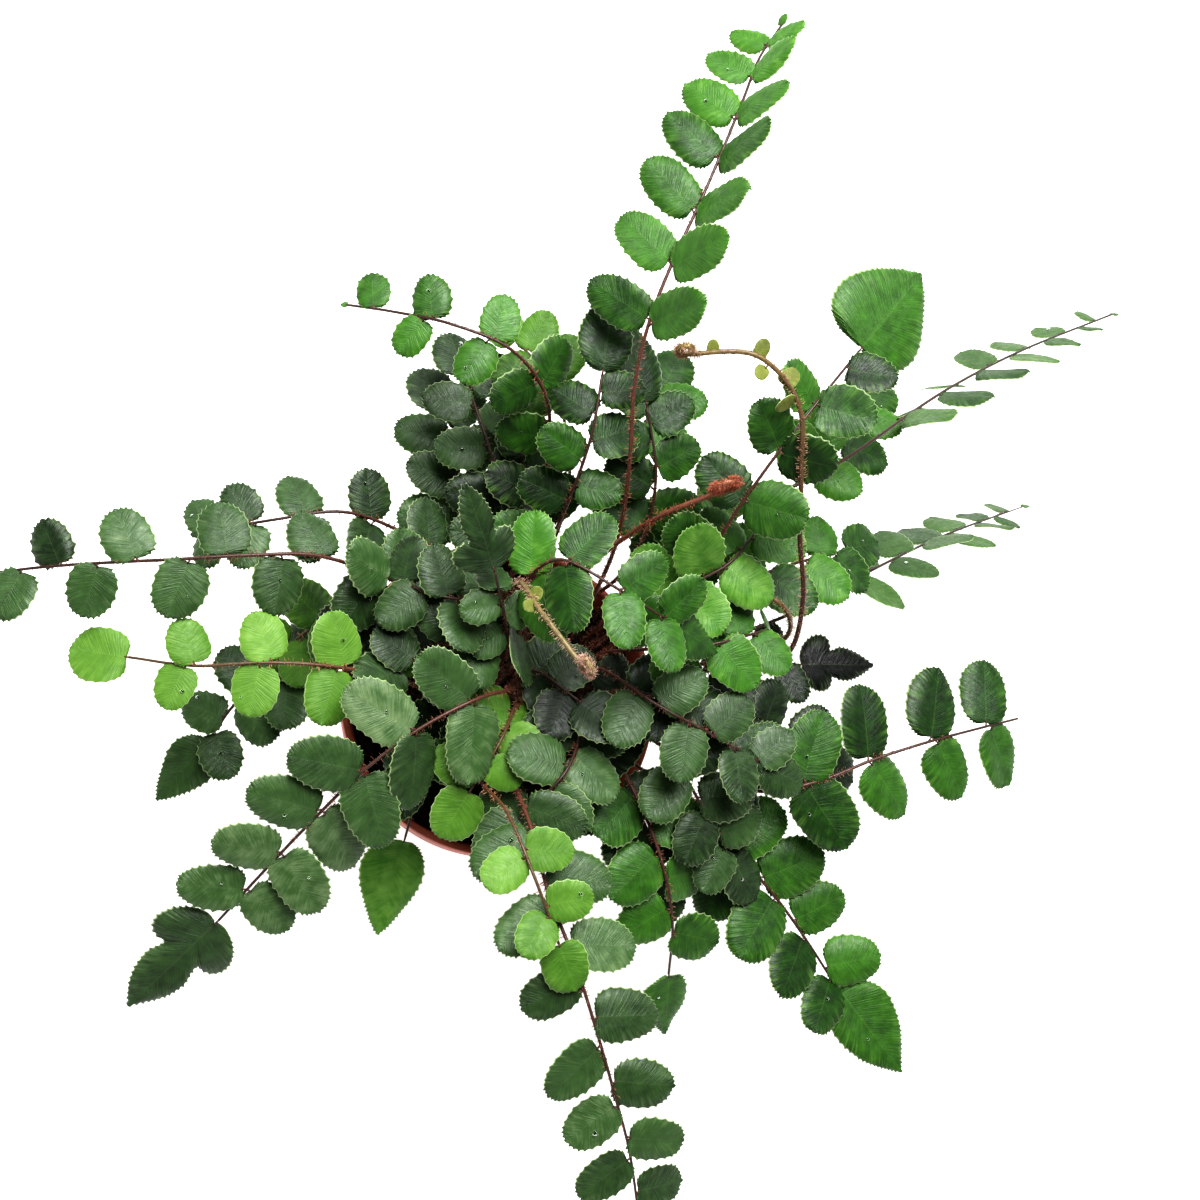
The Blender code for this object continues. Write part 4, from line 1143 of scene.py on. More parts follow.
# %% [markdown]
# ## The leaflet's form
# A leaflet is a grid of rows that run from the midrib out and forwards to the edge, as the veins
# do. The grid is then bent: it droops towards its tip, cups or arches across, dips at the
# midrib, waves along its edge and curls at its rim. A flat cut-out would catch the light all at
# once, while this form breaks the highlight as the real leaflet does.

# %% Leaflet form
# Where the columns lie between the left and the right edge, and where the midrib starts; then
# how uneven the two halves are, how far the leaflet cups, dips and waves as shares of its half
# width, and where its edge starts to curl
COLUMNS = np.array([-1.0, -0.94, -0.72, -0.38, 0.0, 0.38, 0.72, 0.94, 1.0])
LEAF_BASE = 0.06
SKEW = 0.09
CUP_SPREAD = (-0.17, 0.12)
MIDRIB_DIP = 0.02
WAVE_COUNTS = (1.2, 2.3)
WAVE_SPREAD = (0.02, 0.07)
CURL_START = 0.72
CURL_WIDTH = 0.28


def leaf_form(blade, teeth, tooth, draw, recurve):
    """The leaflet's middle surface: across, along and up in millimetres, for each grid point."""
    kind = "round" if blade.kind == "bud" else blade.kind
    length = blade.length
    skew = draw.uniform(-SKEW, SKEW)
    right = toothed_side(kind, blade.wide, length, teeth, tooth, skew, draw)
    left = toothed_side(kind, blade.wide, length, teeth, tooth, -skew, draw)
    rows = len(right)
    share = np.linspace(0.0, 1.0, rows)
    reach = np.maximum.accumulate((right[:, 1] + left[:, 1]) / 2)
    spine = LEAF_BASE * length + (reach - LEAF_BASE * length) * (0.38 + 0.62 * share**2)
    out = np.abs(COLUMNS)[None, :]
    side = np.where(COLUMNS[None, :] < 0, -left[:, :1], right[:, :1])
    far = np.where(COLUMNS[None, :] < 0, left[:, 1:], right[:, 1:])
    across = side * out
    along = spine[:, None] + (far - spine[:, None]) * out
    half = max(np.abs(across).max(), 1.0)
    up = -blade.bend * along**2 / length
    up = up + draw.uniform(*CUP_SPREAD) * half * (across / half) ** 2
    up -= MIDRIB_DIP * half * np.exp(-((out / 0.2) ** 2))
    turn = draw.uniform(0.0, math.tau)
    waves = draw.uniform(*WAVE_COUNTS)
    wave = np.sin(math.tau * waves * share[:, None] + turn + COLUMNS[None, :])
    up += draw.uniform(*WAVE_SPREAD) * half * out**2 * wave
    up -= recurve * half * np.clip((out - CURL_START) / CURL_WIDTH, 0.0, 1.0) ** 2
    return np.stack([across, along, up], axis=-1)


print("a leaflet has", len(COLUMNS), "columns")

# %% [markdown]
# ## The leaflet's two skins
# A leaflet is thin, but it has an upper and a lower side that differ in colour. The bent grid is
# taken twice, a little apart, and the two sheets are joined round the edge. A single sheet with
# two colours would also look right from far away, but it would have no edge to catch the light.

# %% Leaflet mesh
# The thickness in millimetres and the share of it that is lost at the edge
LEAF_THICK = 0.36
EDGE_THINNING = 0.55
LEAST_TEETH = 5
Leaf = namedtuple("Leaf", "points faces kinds side vein tone")


def leaf_mesh(blade, draw, tooth, recurve, tone):
    """A closed leaflet: an upper and a lower surface joined round the edge."""
    teeth = max(LEAST_TEETH, round(blade.length * TEETH_PER_MM))
    form = leaf_form(blade, teeth, tooth, draw, recurve)
    rows, columns = form.shape[:2]
    thick = LEAF_THICK / 2 * (1.0 - EDGE_THINNING * np.abs(COLUMNS) ** 4)
    upper, lower = form.copy(), form.copy()
    upper[..., 2] += thick
    lower[..., 2] -= thick
    basis = np.array([blade.across, blade.along, blade.upper], float)
    points = np.concatenate([upper.reshape(-1, 3), lower.reshape(-1, 3)]) @ basis
    points += np.array(blade.root, float)
    grid = np.arange(rows * columns).reshape(rows, columns)
    a, b, c, d = grid[:-1, :-1], grid[:-1, 1:], grid[1:, 1:], grid[1:, :-1]
    top = np.stack([a, b, c, d], axis=-1).reshape(-1, 4)
    bottom = top[:, ::-1] + rows * columns
    loop = np.concatenate([grid[0], grid[1:, -1], grid[-1, -2::-1], grid[-2:0:-1, 0]])
    after = np.roll(loop, -1)
    rim = np.stack([after, loop, loop + rows * columns, after + rows * columns], axis=-1)
    faces = np.concatenate([top, bottom, rim])
    kinds = np.concatenate([np.zeros(len(top)), np.ones(len(bottom)), np.zeros(len(rim))])
    side = np.tile(COLUMNS, (rows, 1)).ravel()
    vein = np.tile((np.arange(rows) / 3.0)[:, None], (1, columns)).ravel()
    return Leaf(points, faces, kinds, np.tile(side, 2), np.tile(vein, 2),
                np.full(2 * rows * columns, tone))


print("thickness in the middle:", LEAF_THICK, "mm")

# %% [markdown]
# ## Leaflets on their fronds
# All leaflets of one frond become one piece, which stands for that frond's solid. Each leaflet
# gets its own tone, lighter or darker than that of its frond, and rolls its edges under a little.
# One piece a frond keeps the parts few, and still lets a frond be hidden or changed alone.

# %% Make the leaflets
# The teeth's height in millimetres, how far the edges roll under and how the tones differ; the
# front frond looks old for its age
TOOTH_HEIGHTS = {"old": 0.62, "mid": 0.56, "young": 0.36, "pale": 0.4, "crozier": 0.2}
RECURVE = {"old": 0.08, "mid": 0.08, "young": 0.10, "pale": 0.05, "crozier": 0.05}
RECURVE_SPREAD = (0.3, 1.5)
TONE_SPREAD = (0.35, 0.75)
LOOKS = {"front": "old"}
# Tone offset of each frond. The small fronds inside the crown (inner_left, inner_front,
# inner_middle, inner_back, inner_right, inner_far and rim_inner) get lower tones, which are painted
# shade of the crown's deep inside
FROND_TONE_AND_SHADE = {
    "dark_low": -0.55, "left_young": 0.1, "left_mid": -0.2, "front": 0.1, "right_low": -0.3,
    "front_low": -0.2, "inner_right": -0.3, "back_right": -0.2, "front_right": -0.1,
    "right_front": -0.2, "back_inner": -0.3, "back_mid": -0.25,
    "back_pale": -0.3, "lower_left": 0.14, "rim_kite": 0.4, "right_mid": 0.15,
    "inner_left": -0.3, "inner_front": -0.3, "inner_middle": -0.3, "inner_back": -0.3,
    "inner_far": -0.2, "rim_inner": -0.3, "back_dark": -0.15}


def mesh_piece(name, points, faces, materials, kinds=None, numbers=None):
    """A smooth-shaded piece, from points in millimetres."""
    mesh = bpy.data.meshes.new(name)
    mesh.from_pydata((np.asarray(points, float) * MM).tolist(), [], [tuple(f) for f in faces])
    for material in materials:
        mesh.materials.append(material)
    if kinds is not None:
        mesh.polygons.foreach_set("material_index", np.asarray(kinds, np.int32))
    for key, values in (numbers or {}).items():
        stored = mesh.attributes.new(key, "FLOAT", "POINT")
        stored.data.foreach_set("value", np.asarray(values, np.float32))
    mesh.shade_smooth()
    mesh.update()
    return new_object(name, mesh)


def put_in_place(piece, node):
    """Fixes a piece to the plant in place of its solid."""
    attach(piece, "root")
    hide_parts(node)


def make_leaves(frond):
    """The leaflets of one frond as one piece; returns its number of triangles."""
    group = blades[frond.name]
    if not group:
        return 0
    draw = random.Random(frond.name + " look")
    leaves = []
    for blade in group:
        # the frond's offset, which is painted shade for the fronds inside the crown
        tone = draw.uniform(*TONE_SPREAD) + FROND_TONE_AND_SHADE.get(frond.name, 0.0)
        recurve = RECURVE[frond.age] * draw.uniform(*RECURVE_SPREAD)
        leaves.append(leaf_mesh(blade, draw, TOOTH_HEIGHTS[frond.age], recurve, tone))
    starts = np.cumsum([0] + [len(leaf.points) for leaf in leaves[:-1]])
    faces = np.concatenate([leaf.faces + start for leaf, start in zip(leaves, starts)])
    numbers = {key: np.concatenate([getattr(leaf, key) for leaf in leaves])
               for key in ("side", "vein", "tone")}
    piece = mesh_piece("leaves_" + frond.name, np.concatenate([leaf.points for leaf in leaves]),
                       faces.tolist(), leaf_finishes[LOOKS.get(frond.name, frond.age)],
                       np.concatenate([leaf.kinds for leaf in leaves]), numbers)
    put_in_place(piece, "frond_" + frond.name)
    return 2 * len(faces)


leaf_triangles = sum(make_leaves(frond) for frond in FRONDS)
print("leaf triangles:", leaf_triangles)

# %% [markdown]
# ## The stem's surface
# A stem is a thin brown wire, smooth near its tip and covered with stiff red-brown bristles near
# its foot. Young fronds are still pale orange and woolly, with a curled head. A number stored on
# the stem says how far up each point lies, and the colour goes with it from the foot's tone to
# the tip's, under fine dark streaks. One even brown would look like painted wire.

# %% Stem finishes
# Two tones of each stem, at its foot and its tip, and one of its bristles
STEM_TONES = {
    "old": (shade(92, 54, 42), shade(58, 39, 32)),
    "mid": (shade(100, 58, 45), shade(64, 44, 35)),
    "young": (shade(112, 66, 48), shade(84, 66, 42)),
    "pale": (shade(76, 50, 41), shade(62, 58, 48)),
    "crozier": (shade(116, 70, 52), shade(176, 120, 88)),
    "tan wool": (shade(70, 38, 33), shade(146, 128, 80)),
    "green wool": (shade(108, 66, 48), shade(146, 144, 92)),
    "pink wool": (shade(118, 104, 66), shade(148, 134, 94)),
}
BRISTLE_TONES = {"old": shade(140, 94, 76), "mid": shade(156, 106, 86),
                 "young": shade(180, 132, 106), "pale": shade(150, 114, 96),
                 "crozier": shade(164, 96, 72), "tan wool": shade(172, 138, 112),
                 "green wool": shade(180, 164, 124), "pink wool": shade(186, 150, 134)}


def stem_finish(age):
    """Brown stem skin, redder at its foot, with fine streaks."""
    foot, tip = STEM_TONES[age]
    made = Surface("stem_" + age.replace(" ", "_"))
    colour = made.blend(made.ranged(made.stored("along"), 0.25, 0.85), foot, tip)
    streak = made.speckle(900.0, 3.0)
    colour = made.blend(made.ranged(streak, 0.45, 0.75, 0.0, 0.5), colour, shade(60, 32, 24))
    made.colour(colour)
    made.roughen(streak, 0.34, 0.52)
    made.relief(streak, 0.4, 0.08)
    return made.material


def bristle_finish(age):
    """Dry bristles, a little lighter towards their tips."""
    made = Surface("bristle_" + age.replace(" ", "_"))
    tone = BRISTLE_TONES[age]
    pale = tuple(min(1.0, v * 1.7) for v in tone[:3]) + (1.0,)
    patches = made.speckle(1200.0)
    share = made.math("MULTIPLY", made.stored("along"), made.ranged(patches, 0.3, 0.7, 0.5, 1.0))
    made.colour(made.blend(share, tone, pale))
    made.roughen(patches, 0.5, 0.7)
    made.relief(patches, 0.3, 0.02)
    return made.material


stem_finishes = {age: (stem_finish(age), bristle_finish(age)) for age in STEM_TONES}
print("stem finishes:", ", ".join(stem_finishes))

# %% [markdown]
# ## Tubes and spikes
# A stem is a round tube along its smooth line, and its rings are carried on without a twist. Each
# bristle is a small bent spike of its own, because hair that is only drawn on would vanish from
# the side. Blender's hair could grow them too, but spikes that are part of the mesh stay with it
# in every file.

# %% Tubes and spikes
# The faces of a spike: three corners at its root, three at its bend and its tip
BRISTLE_FACES = ((0, 1, 4, 3), (1, 2, 5, 4), (2, 0, 3, 5), (3, 4, 6), (4, 5, 6), (5, 3, 6),
                 (2, 1, 0))


def frames_along(line):
    """Directions and two side axes along a line, carried on without twisting."""
    ahead = np.gradient(line, axis=0)
    ahead /= np.linalg.norm(ahead, axis=1)[:, None]
    side = np.cross(ahead[0], [0.3, 0.2, 1.0])
    sides = []
    for direction in ahead:
        side = side - direction * side.dot(direction)
        side = side / np.linalg.norm(side)
        sides.append(side)
    sides = np.array(sides)
    return ahead, sides, np.cross(ahead, sides)


def round_tube(line, radii, corners):
    """Points and faces of a closed round tube along a line."""
    _, side, other = frames_along(line)
    turn = np.linspace(0.0, math.tau, corners, endpoint=False)
    ring = side[:, None] * np.cos(turn)[:, None] + other[:, None] * np.sin(turn)[:, None]
    points = (line[:, None] + ring * radii[:, None, None]).reshape(-1, 3)
    faces = band_faces(len(line), corners)
    faces.append(tuple(range(corners))[::-1])
    faces.append(tuple(range(len(points) - corners, len(points))))
    return points, faces


def spike(root, outward, ahead, lean, length, radius):
    """A bristle: a three-sided spike that leans and bends along the stem."""
    middle = root + (outward + ahead * (0.25 * lean)) * (length * 0.55)
    tip = root + outward * (length * 0.8) + ahead * (0.6 * lean * length)
    cross = np.cross(outward, ahead)
    points = []
    for centre, size in ((root, radius), (middle, radius * 0.7)):
        for corner in range(3):
            angle = math.tau * corner / 3
            points.append(centre + (ahead * math.cos(angle) + cross * math.sin(angle)) * size)
    points.append(tip)
    return points, BRISTLE_FACES


print("triangles of a bristle:", sum(len(face) - 2 for face in BRISTLE_FACES))

# %% [markdown]
# ## Stalks and bristles
# Short stalks join the stem to every leaflet. The bristles are dense at the foot, thin out along
# the stem, and are thickest on a curled head, where they look like orange wool. Each one starts
# on the stem's skin and leans by chance, because a coat of equal bristles would look combed.

# %% Stalks and bristles
# Bristles on a millimetre, their sizes in millimetres, how they lean, and how far up they grow
BRISTLES_PER_MM = 5.0
WOOL_PER_MM = 30.0
BRISTLE_RADIUS = 0.1
BRISTLE_LENGTHS = (1.1, 2.4)
BRISTLE_LEANS = (-0.3, 1.0)
BRISTLE_THINNING = 0.75
WOOL_START = 0.04
HAIRY_SHARE = {"old": 0.9, "mid": 0.85, "young": 0.9, "pale": 0.4, "crozier": 1.0}
STALK_RADIUS = 0.3


def add_bristles(growth, frond, line, radii, draw):
    """Bristles round the stem, thinning out along it, and wool on a curled head."""
    ahead, side, other = frames_along(line)
    steps = np.concatenate([[0.0], np.cumsum(np.linalg.norm(np.diff(line, axis=0), axis=1))])
    total = steps[-1]
    woolly = frond.age == "crozier"
    head = stems[frond.name].reach / stems[frond.name].length if woolly else 2.0
    mark = 0.0
    while mark < total * HAIRY_SHARE[frond.age]:
        share = mark / total
        density = BRISTLES_PER_MM * (1.0 - BRISTLE_THINNING * share / HAIRY_SHARE[frond.age])
        if woolly:
            density = WOOL_PER_MM if share > head - WOOL_START else BRISTLES_PER_MM
        mark += draw.expovariate(density)
        index = min(int(np.searchsorted(steps, mark)), len(line) - 1)
        angle = draw.uniform(0.0, math.tau)
        outward = side[index] * math.cos(angle) + other[index] * math.sin(angle)
        lean = draw.uniform(*BRISTLE_LEANS)
        slide = (line[index] - line[max(index - 1, 0)]) * draw.random()
        root = line[index] - slide + outward * radii[index] * 0.7
        length = draw.uniform(*BRISTLE_LENGTHS)
        points, faces = spike(root, outward, ahead[index], lean, length, BRISTLE_RADIUS)
        growth.add(points, faces, 1, [0.0] * 3 + [0.4] * 3 + [1.0])


def add_stalks(growth, frond, line):
    """A short stalk from the stem to the base of each leaflet."""
    for blade in blades[frond.name]:
        root = np.array(blade.root, float)
        near_point = line[np.argmin(np.linalg.norm(line - root, axis=1))]
        base = root + np.array(blade.along, float) * (LEAF_BASE * blade.length + 0.5)
        middle = (near_point + base) / 2 + np.array([0.0, 0.0, 0.1])
        if np.linalg.norm(base - near_point) < 0.3:
            continue
        points, faces = round_tube(np.array([near_point, middle, base]),
                                   np.array([1.2, 1.0, 0.9]) * STALK_RADIUS, 5)
        growth.add(points, faces, 0, [0.6] * len(points))


print("bristles on a millimetre:", BRISTLES_PER_MM, "and on a curled head:", WOOL_PER_MM)

# %% [markdown]
# ## Growing a stem
# The tube starts a little below the peat and ends at the frond's tip or curled head. It follows
# the same line as the solid stem, but it is round and thinner, as the real one is. Tube, stalks
# and bristles become one piece that stands for the frond's solid together with its leaflets.

# %% Make the stems
# Radii and heights in millimetres; some young stems look paler or browner than the others
FOOT_RADIUS = 0.8
TIP_RADIUS = 0.4
WOOLLY_RADIUS = 0.72
TUBE_SIDES = 8
TUBE_START = SOIL_TOP - 3.0
STEM_LOOKS = {"pale_arch": "green wool", "crozier_middle": "pink wool",
              "curled_arch": "tan wool"}


class Growth:
    """Points, faces and stored numbers gathered into one mesh."""

    def __init__(self):
        self.points = []
        self.faces = []
        self.kinds = []
        self.along = []

    def add(self, points, faces, kind, along):
        """Adds a shape with one material and one or several stored numbers."""
        start = len(self.points)
        self.points += list(points)
        self.faces += [tuple(start + i for i in face) for face in faces]
        self.kinds += [kind] * len(faces)
        self.along += list(along)


def stem_line(stem):
    """The stem's smooth centre line, from just below the peat."""
    line = np.array([tuple(p) for p in smooth_curve([tuple(p) for p in stem.rings])])
    return line[line[:, 2] > TUBE_START]


def make_stem(frond):
    """The stem, stalks and bristles of one frond; returns its number of triangles."""
    draw = random.Random(frond.name + " bristles")
    stem = stems[frond.name]
    line = stem_line(stem)
    share = np.linspace(0.0, 1.0, len(line))
    woolly = frond.age == "crozier"
    tip = WOOLLY_RADIUS if woolly else TIP_RADIUS
    radii = FOOT_RADIUS + (tip - FOOT_RADIUS) * share**0.7
    growth = Growth()
    points, faces = round_tube(line, radii, TUBE_SIDES)
    growth.add(points, faces, 0, np.repeat(share, TUBE_SIDES))
    add_stalks(growth, frond, line)
    add_bristles(growth, frond, line, radii, draw)
    piece = mesh_piece("stem_" + frond.name, growth.points, growth.faces,
                       stem_finishes[STEM_LOOKS.get(frond.name, frond.age)], growth.kinds,
                       {"along": growth.along})
    put_in_place(piece, "frond_" + frond.name)
    return sum(len(face) - 2 for face in growth.faces)


stem_triangles = sum(make_stem(frond) for frond in FRONDS)
print("stem and bristle triangles:", stem_triangles)

# %% [markdown]
# ## The pot's form
# The pot is a moulded nursery pot of thin plastic, with a collar band under a rounded rim. Its
# wall is drawn as a profile, from the middle of the floor inside over the rim to the middle of
# the underside, and turned about the upright axis. A screw modifier could turn it too, but the
# few lines here leave no seam to close.

# %% Pot form
# Sizes in millimetres
RIM_WIDTH = 2.6
BAND_HEIGHT = 13.0
BAND_STEP = 1.4
WALL = 1.5
BASE_RADIUS = 37.0
BASE_EDGE = 1.5
FLOOR = 2.2
TURN_STEPS = 144


def wall_radius(height):
    """The outer radius of the tapered wall at a height."""
    top = RIM_RADIUS - BAND_STEP
    return BASE_RADIUS + (top - BASE_RADIUS) * height / (POT_HEIGHT - BAND_HEIGHT)


def inner_radius(height):
    """The inner radius of the pot at a height."""
    top = RIM_RADIUS - RIM_WIDTH
    foot = BASE_RADIUS - WALL
    return foot + (top - foot) * (height - FLOOR) / (POT_HEIGHT - FLOOR)


def pot_profile():
    """Radius and height pairs of the pot's section, inside first, in millimetres."""
    top = inner_radius(POT_HEIGHT)
    wall = wall_radius(POT_HEIGHT - BAND_HEIGHT) - 0.2
    return (
        (0.0, FLOOR), (inner_radius(FLOOR) - 1.5, FLOOR), (inner_radius(FLOOR), FLOOR + 1.2),
        (top, POT_HEIGHT - 1.0), (top + 0.25, POT_HEIGHT - 0.35), (top + 0.8, POT_HEIGHT),
        (RIM_RADIUS - 0.9, POT_HEIGHT), (RIM_RADIUS - 0.3, POT_HEIGHT - 0.3),
        (RIM_RADIUS, POT_HEIGHT - 1.0), (RIM_RADIUS - 0.1, POT_HEIGHT - 2.6),
        (RIM_RADIUS - 0.5, POT_HEIGHT - 3.0), (RIM_RADIUS - 0.7, POT_HEIGHT - BAND_HEIGHT + 0.6),
        (RIM_RADIUS - 1.0, POT_HEIGHT - BAND_HEIGHT), (wall, POT_HEIGHT - BAND_HEIGHT - 0.5),
        (wall - 0.5, POT_HEIGHT - BAND_HEIGHT - 2.5),
        (wall_radius(BASE_EDGE + 1.0), BASE_EDGE + 1.0), (BASE_RADIUS - 0.4, 0.5),
        (BASE_RADIUS - BASE_EDGE, 0.0), (0.0, 0.0),
    )


def turned_mesh(profile):
    """A closed body turned about the upright axis."""
    turn = np.linspace(0.0, math.tau, TURN_STEPS, endpoint=False)
    points = []
    rings = []
    for radius, height in profile:
        if radius < 1e-6:
            rings.append([len(points)] * TURN_STEPS)
            points.append((0.0, 0.0, height))
        else:
            rings.append([len(points) + i for i in range(TURN_STEPS)])
            points += [(radius * math.cos(a), radius * math.sin(a), height) for a in turn]
    faces = []
    for first, second in zip(rings, rings[1:]):
        for i in range(TURN_STEPS):
            j = (i + 1) % TURN_STEPS
            corners = dict.fromkeys((first[i], first[j], second[j], second[i]))
            faces.append(tuple(corners))
    return points, faces


print("pot:", 2 * RIM_RADIUS, "mm across,", POT_HEIGHT, "mm high")

# %% [markdown]
# ## The pot's surface and drain holes
# Moulded plastic is smooth but not flawless, so the red-brown finish has a faint mottle, a fine
# grain and a thin scatter of peat dust. Six drain holes are cut through the floor with short
# round bars, and the bars are taken away again. The cut is made at once, not kept as a modifier,
# so that the smooth and the sharp edges can be marked on the final mesh.

# %% Make the pot
# The drain holes' number, ring and radius in millimetres, and the angle of a sharp edge
DRAIN_HOLES = 6
DRAIN_RING = 25.0
DRAIN_RADIUS = 4.0
DRAIN_SIDES = 32
SHARP_ANGLE = math.radians(38.0)


def pot_finish():
    """Red-brown moulded plastic with faint mottling, grain and a scatter of peat dust."""
    made = Surface("pot_plastic")
    mottle = made.speckle(60.0, 5.0)
    colour = made.blend(made.ranged(mottle, 0.3, 0.7), shade(164, 80, 62), shade(176, 90, 70))
    dust = made.ranged(made.speckle(700.0, 4.0), 0.58, 0.72, 0.0, 0.5)
    colour = made.blend(dust, colour, shade(120, 62, 46))
    made.colour(colour)
    grain = made.speckle(2600.0, 2.0)
    made.roughen(grain, 0.40, 0.54)
    made.relief(grain, 0.2, 0.05)
    return made.material


def drain_cutter():
    """The drain holes as one mesh of short round bars."""
    shape = bmesh.new()
    for index in range(DRAIN_HOLES):
        angle = math.tau * (index + 0.5) / DRAIN_HOLES
        place = Vector((math.cos(angle), math.sin(angle), 0.0)) * DRAIN_RING * MM
        bmesh.ops.create_cone(shape, cap_ends=True, segments=DRAIN_SIDES,
                              radius1=DRAIN_RADIUS * MM, radius2=DRAIN_RADIUS * MM,
                              depth=4 * FLOOR * MM, matrix=Matrix.Translation(place))
    mesh = bpy.data.meshes.new("drain_bars")
    shape.to_mesh(mesh)
    shape.free()
    return new_object("drain_bars", mesh)


def make_pot():
    """The finished pot with its drain holes."""
    points, faces = turned_mesh(pot_profile())
    piece = mesh_piece("nursery_pot", points, faces, [pot_finish()])
    shape = bmesh.new()
    shape.from_mesh(piece.data)
    bmesh.ops.recalc_face_normals(shape, faces=shape.faces)
    shape.to_mesh(piece.data)
    shape.free()
    bars = drain_cutter()
    cut_holes = piece.modifiers.new("drains", "BOOLEAN")
    cut_holes.object = bars
    cut_holes.operation = "DIFFERENCE"
    bpy.context.view_layer.update()
    graph = bpy.context.evaluated_depsgraph_get()
    mesh = bpy.data.meshes.new_from_object(piece.evaluated_get(graph))
    piece.modifiers.clear()
    piece.data = mesh
    bpy.data.objects.remove(bars, do_unlink=True)
    mesh.shade_smooth()
    mesh.set_sharp_from_angle(angle=SHARP_ANGLE)
    put_in_place(piece, "pot")
    print("pot triangles:", sum(len(p.vertices) - 2 for p in mesh.polygons))


make_pot()

# %% [markdown]
# ## The peat
# The pot is filled with dark, crumbly peat. Its top is a fine round grid that is raised and
# lowered by layers of noise, and the body below follows the pot's inner wall. A bump alone would
# look flat where the light grazes it.

# %% Peat body
# Rings of the top's grid, and how high its coarse and its fine lumps are, in millimetres
PEAT_RINGS = 34
PEAT_ROUGH = 0.9
PEAT_FINE = 0.35


def soil_lump(x, y):
    """The height of the peat's uneven surface above its mean, in millimetres."""
    wave = math.sin(0.31 * x + 0.9) * math.cos(0.27 * y - 0.4)
    ripple = 0.6 * math.sin(0.83 * y + 0.21 * x) * math.cos(0.71 * x)
    return SOIL_LUMP * (wave + ripple) / 1.6


def peat_height(x, y):
    """The height of the peat's top at a place, in millimetres."""
    place = Vector((x, y, 3.7))
    rough = noise.fractal(place * 0.16, 0.9, 2.2, 4)
    fine = noise.noise(place * 1.3)
    return SOIL_TOP + soil_lump(x, y) + PEAT_ROUGH * rough + PEAT_FINE * fine


def peat_finish():
    """Almost black peat with brown crumbs and grey dust."""
    made = Surface("peat")
    colour = made.blend(made.ranged(made.speckle(500.0, 5.0), 0.35, 0.7), shade(24, 18, 15),
                        shade(62, 44, 33))
    colour = made.blend(made.ranged(made.speckle(1500.0, 2.0), 0.66, 0.74, 0.0, 0.5), colour,
                        shade(120, 96, 74))
    made.colour(colour)
    lumps = made.speckle(1400.0, 6.0)
    made.roughen(lumps, 0.86, 1.0)
    made.shader.inputs["Specular IOR Level"].default_value = 0.2
    made.relief(lumps, 0.9, 0.5)
    return made.material


def peat_body():
    """Points and faces of the peat: a fine top and a plain body below."""
    edge = inner_radius(SOIL_TOP) - GAP
    turn = np.linspace(0.0, math.tau, TURN_STEPS, endpoint=False)
    points = [(0.0, 0.0, peat_height(0.0, 0.0))]
    for ring in range(1, PEAT_RINGS + 1):
        radius = edge * ring / PEAT_RINGS
        settle = 1.0 if ring < PEAT_RINGS else 0.0
        for angle in turn:
            x, y = radius * math.cos(angle), radius * math.sin(angle)
            points.append((x, y, SOIL_TOP + (peat_height(x, y) - SOIL_TOP) * settle))
    foot = inner_radius(FLOOR + GAP) - GAP
    points += [(foot * math.cos(a), foot * math.sin(a), FLOOR + GAP) for a in turn]
    points.append((0.0, 0.0, FLOOR + GAP))
    faces = [(0, 1 + i, 1 + (i + 1) % TURN_STEPS) for i in range(TURN_STEPS)]
    faces += [(a + 1, d + 1, c + 1, b + 1)
              for a, b, c, d in band_faces(PEAT_RINGS + 1, TURN_STEPS)]
    low = 1 + PEAT_RINGS * TURN_STEPS
    last = len(points) - 1
    faces += [(low + i, last, low + (i + 1) % TURN_STEPS) for i in range(TURN_STEPS)]
    return points, faces


print("peat: from", FLOOR + GAP, "mm up to about", SOIL_TOP, "mm")

# %% [markdown]
# ## Crumbs and fibres
# A few hundred loose crumbs and short root fibres lie on the peat. Each crumb is a small ball
# whose points are moved by chance, and each fibre is a thin bent tube. They could be scattered
# with geometry nodes, but a seeded loop gives the same crumbs on every run.

# %% Make the peat
# How far out the crumbs and fibres lie, how many there are and their sizes, in millimetres
PEAT_REACH = 43.0
CRUMBS = 420
CRUMB_SIZES = (0.4, 1.3)
FIBRES = 90
FIBRE_REACH = (1.5, 4.0)
FIBRE_SWAY = (-0.3, 0.3)


def crumb(x, y, size, draw):
    """A small angular crumb of peat that lies on the top."""
    shape = bmesh.new()
    bmesh.ops.create_icosphere(shape, subdivisions=1, radius=size)
    for vertex in shape.verts:
        vertex.co *= draw.uniform(0.65, 1.15)
        vertex.co.z *= 0.7
    spin = Matrix.Rotation(draw.uniform(0.0, math.tau), 3, "Z")
    place = Vector((x, y, peat_height(x, y) + 0.25 * size))
    points = [tuple(spin @ v.co + place) for v in shape.verts]
    faces = [tuple(v.index for v in f.verts) for f in shape.faces]
    shape.free()
    return points, faces


def fibre(x, y, draw):
    """A short dry root fibre lying on the peat."""
    heading = draw.uniform(0.0, math.tau)
    reach = draw.uniform(*FIBRE_REACH)
    line = []
    for step in (-1.0, -0.3, 0.3, 1.0):
        px = x + reach * step * math.cos(heading) + draw.uniform(*FIBRE_SWAY)
        py = y + reach * step * math.sin(heading) + draw.uniform(*FIBRE_SWAY)
        line.append((px, py, peat_height(px, py) + 0.25))
    return round_tube(np.array(line), np.array([0.1, 0.16, 0.16, 0.08]), 5)


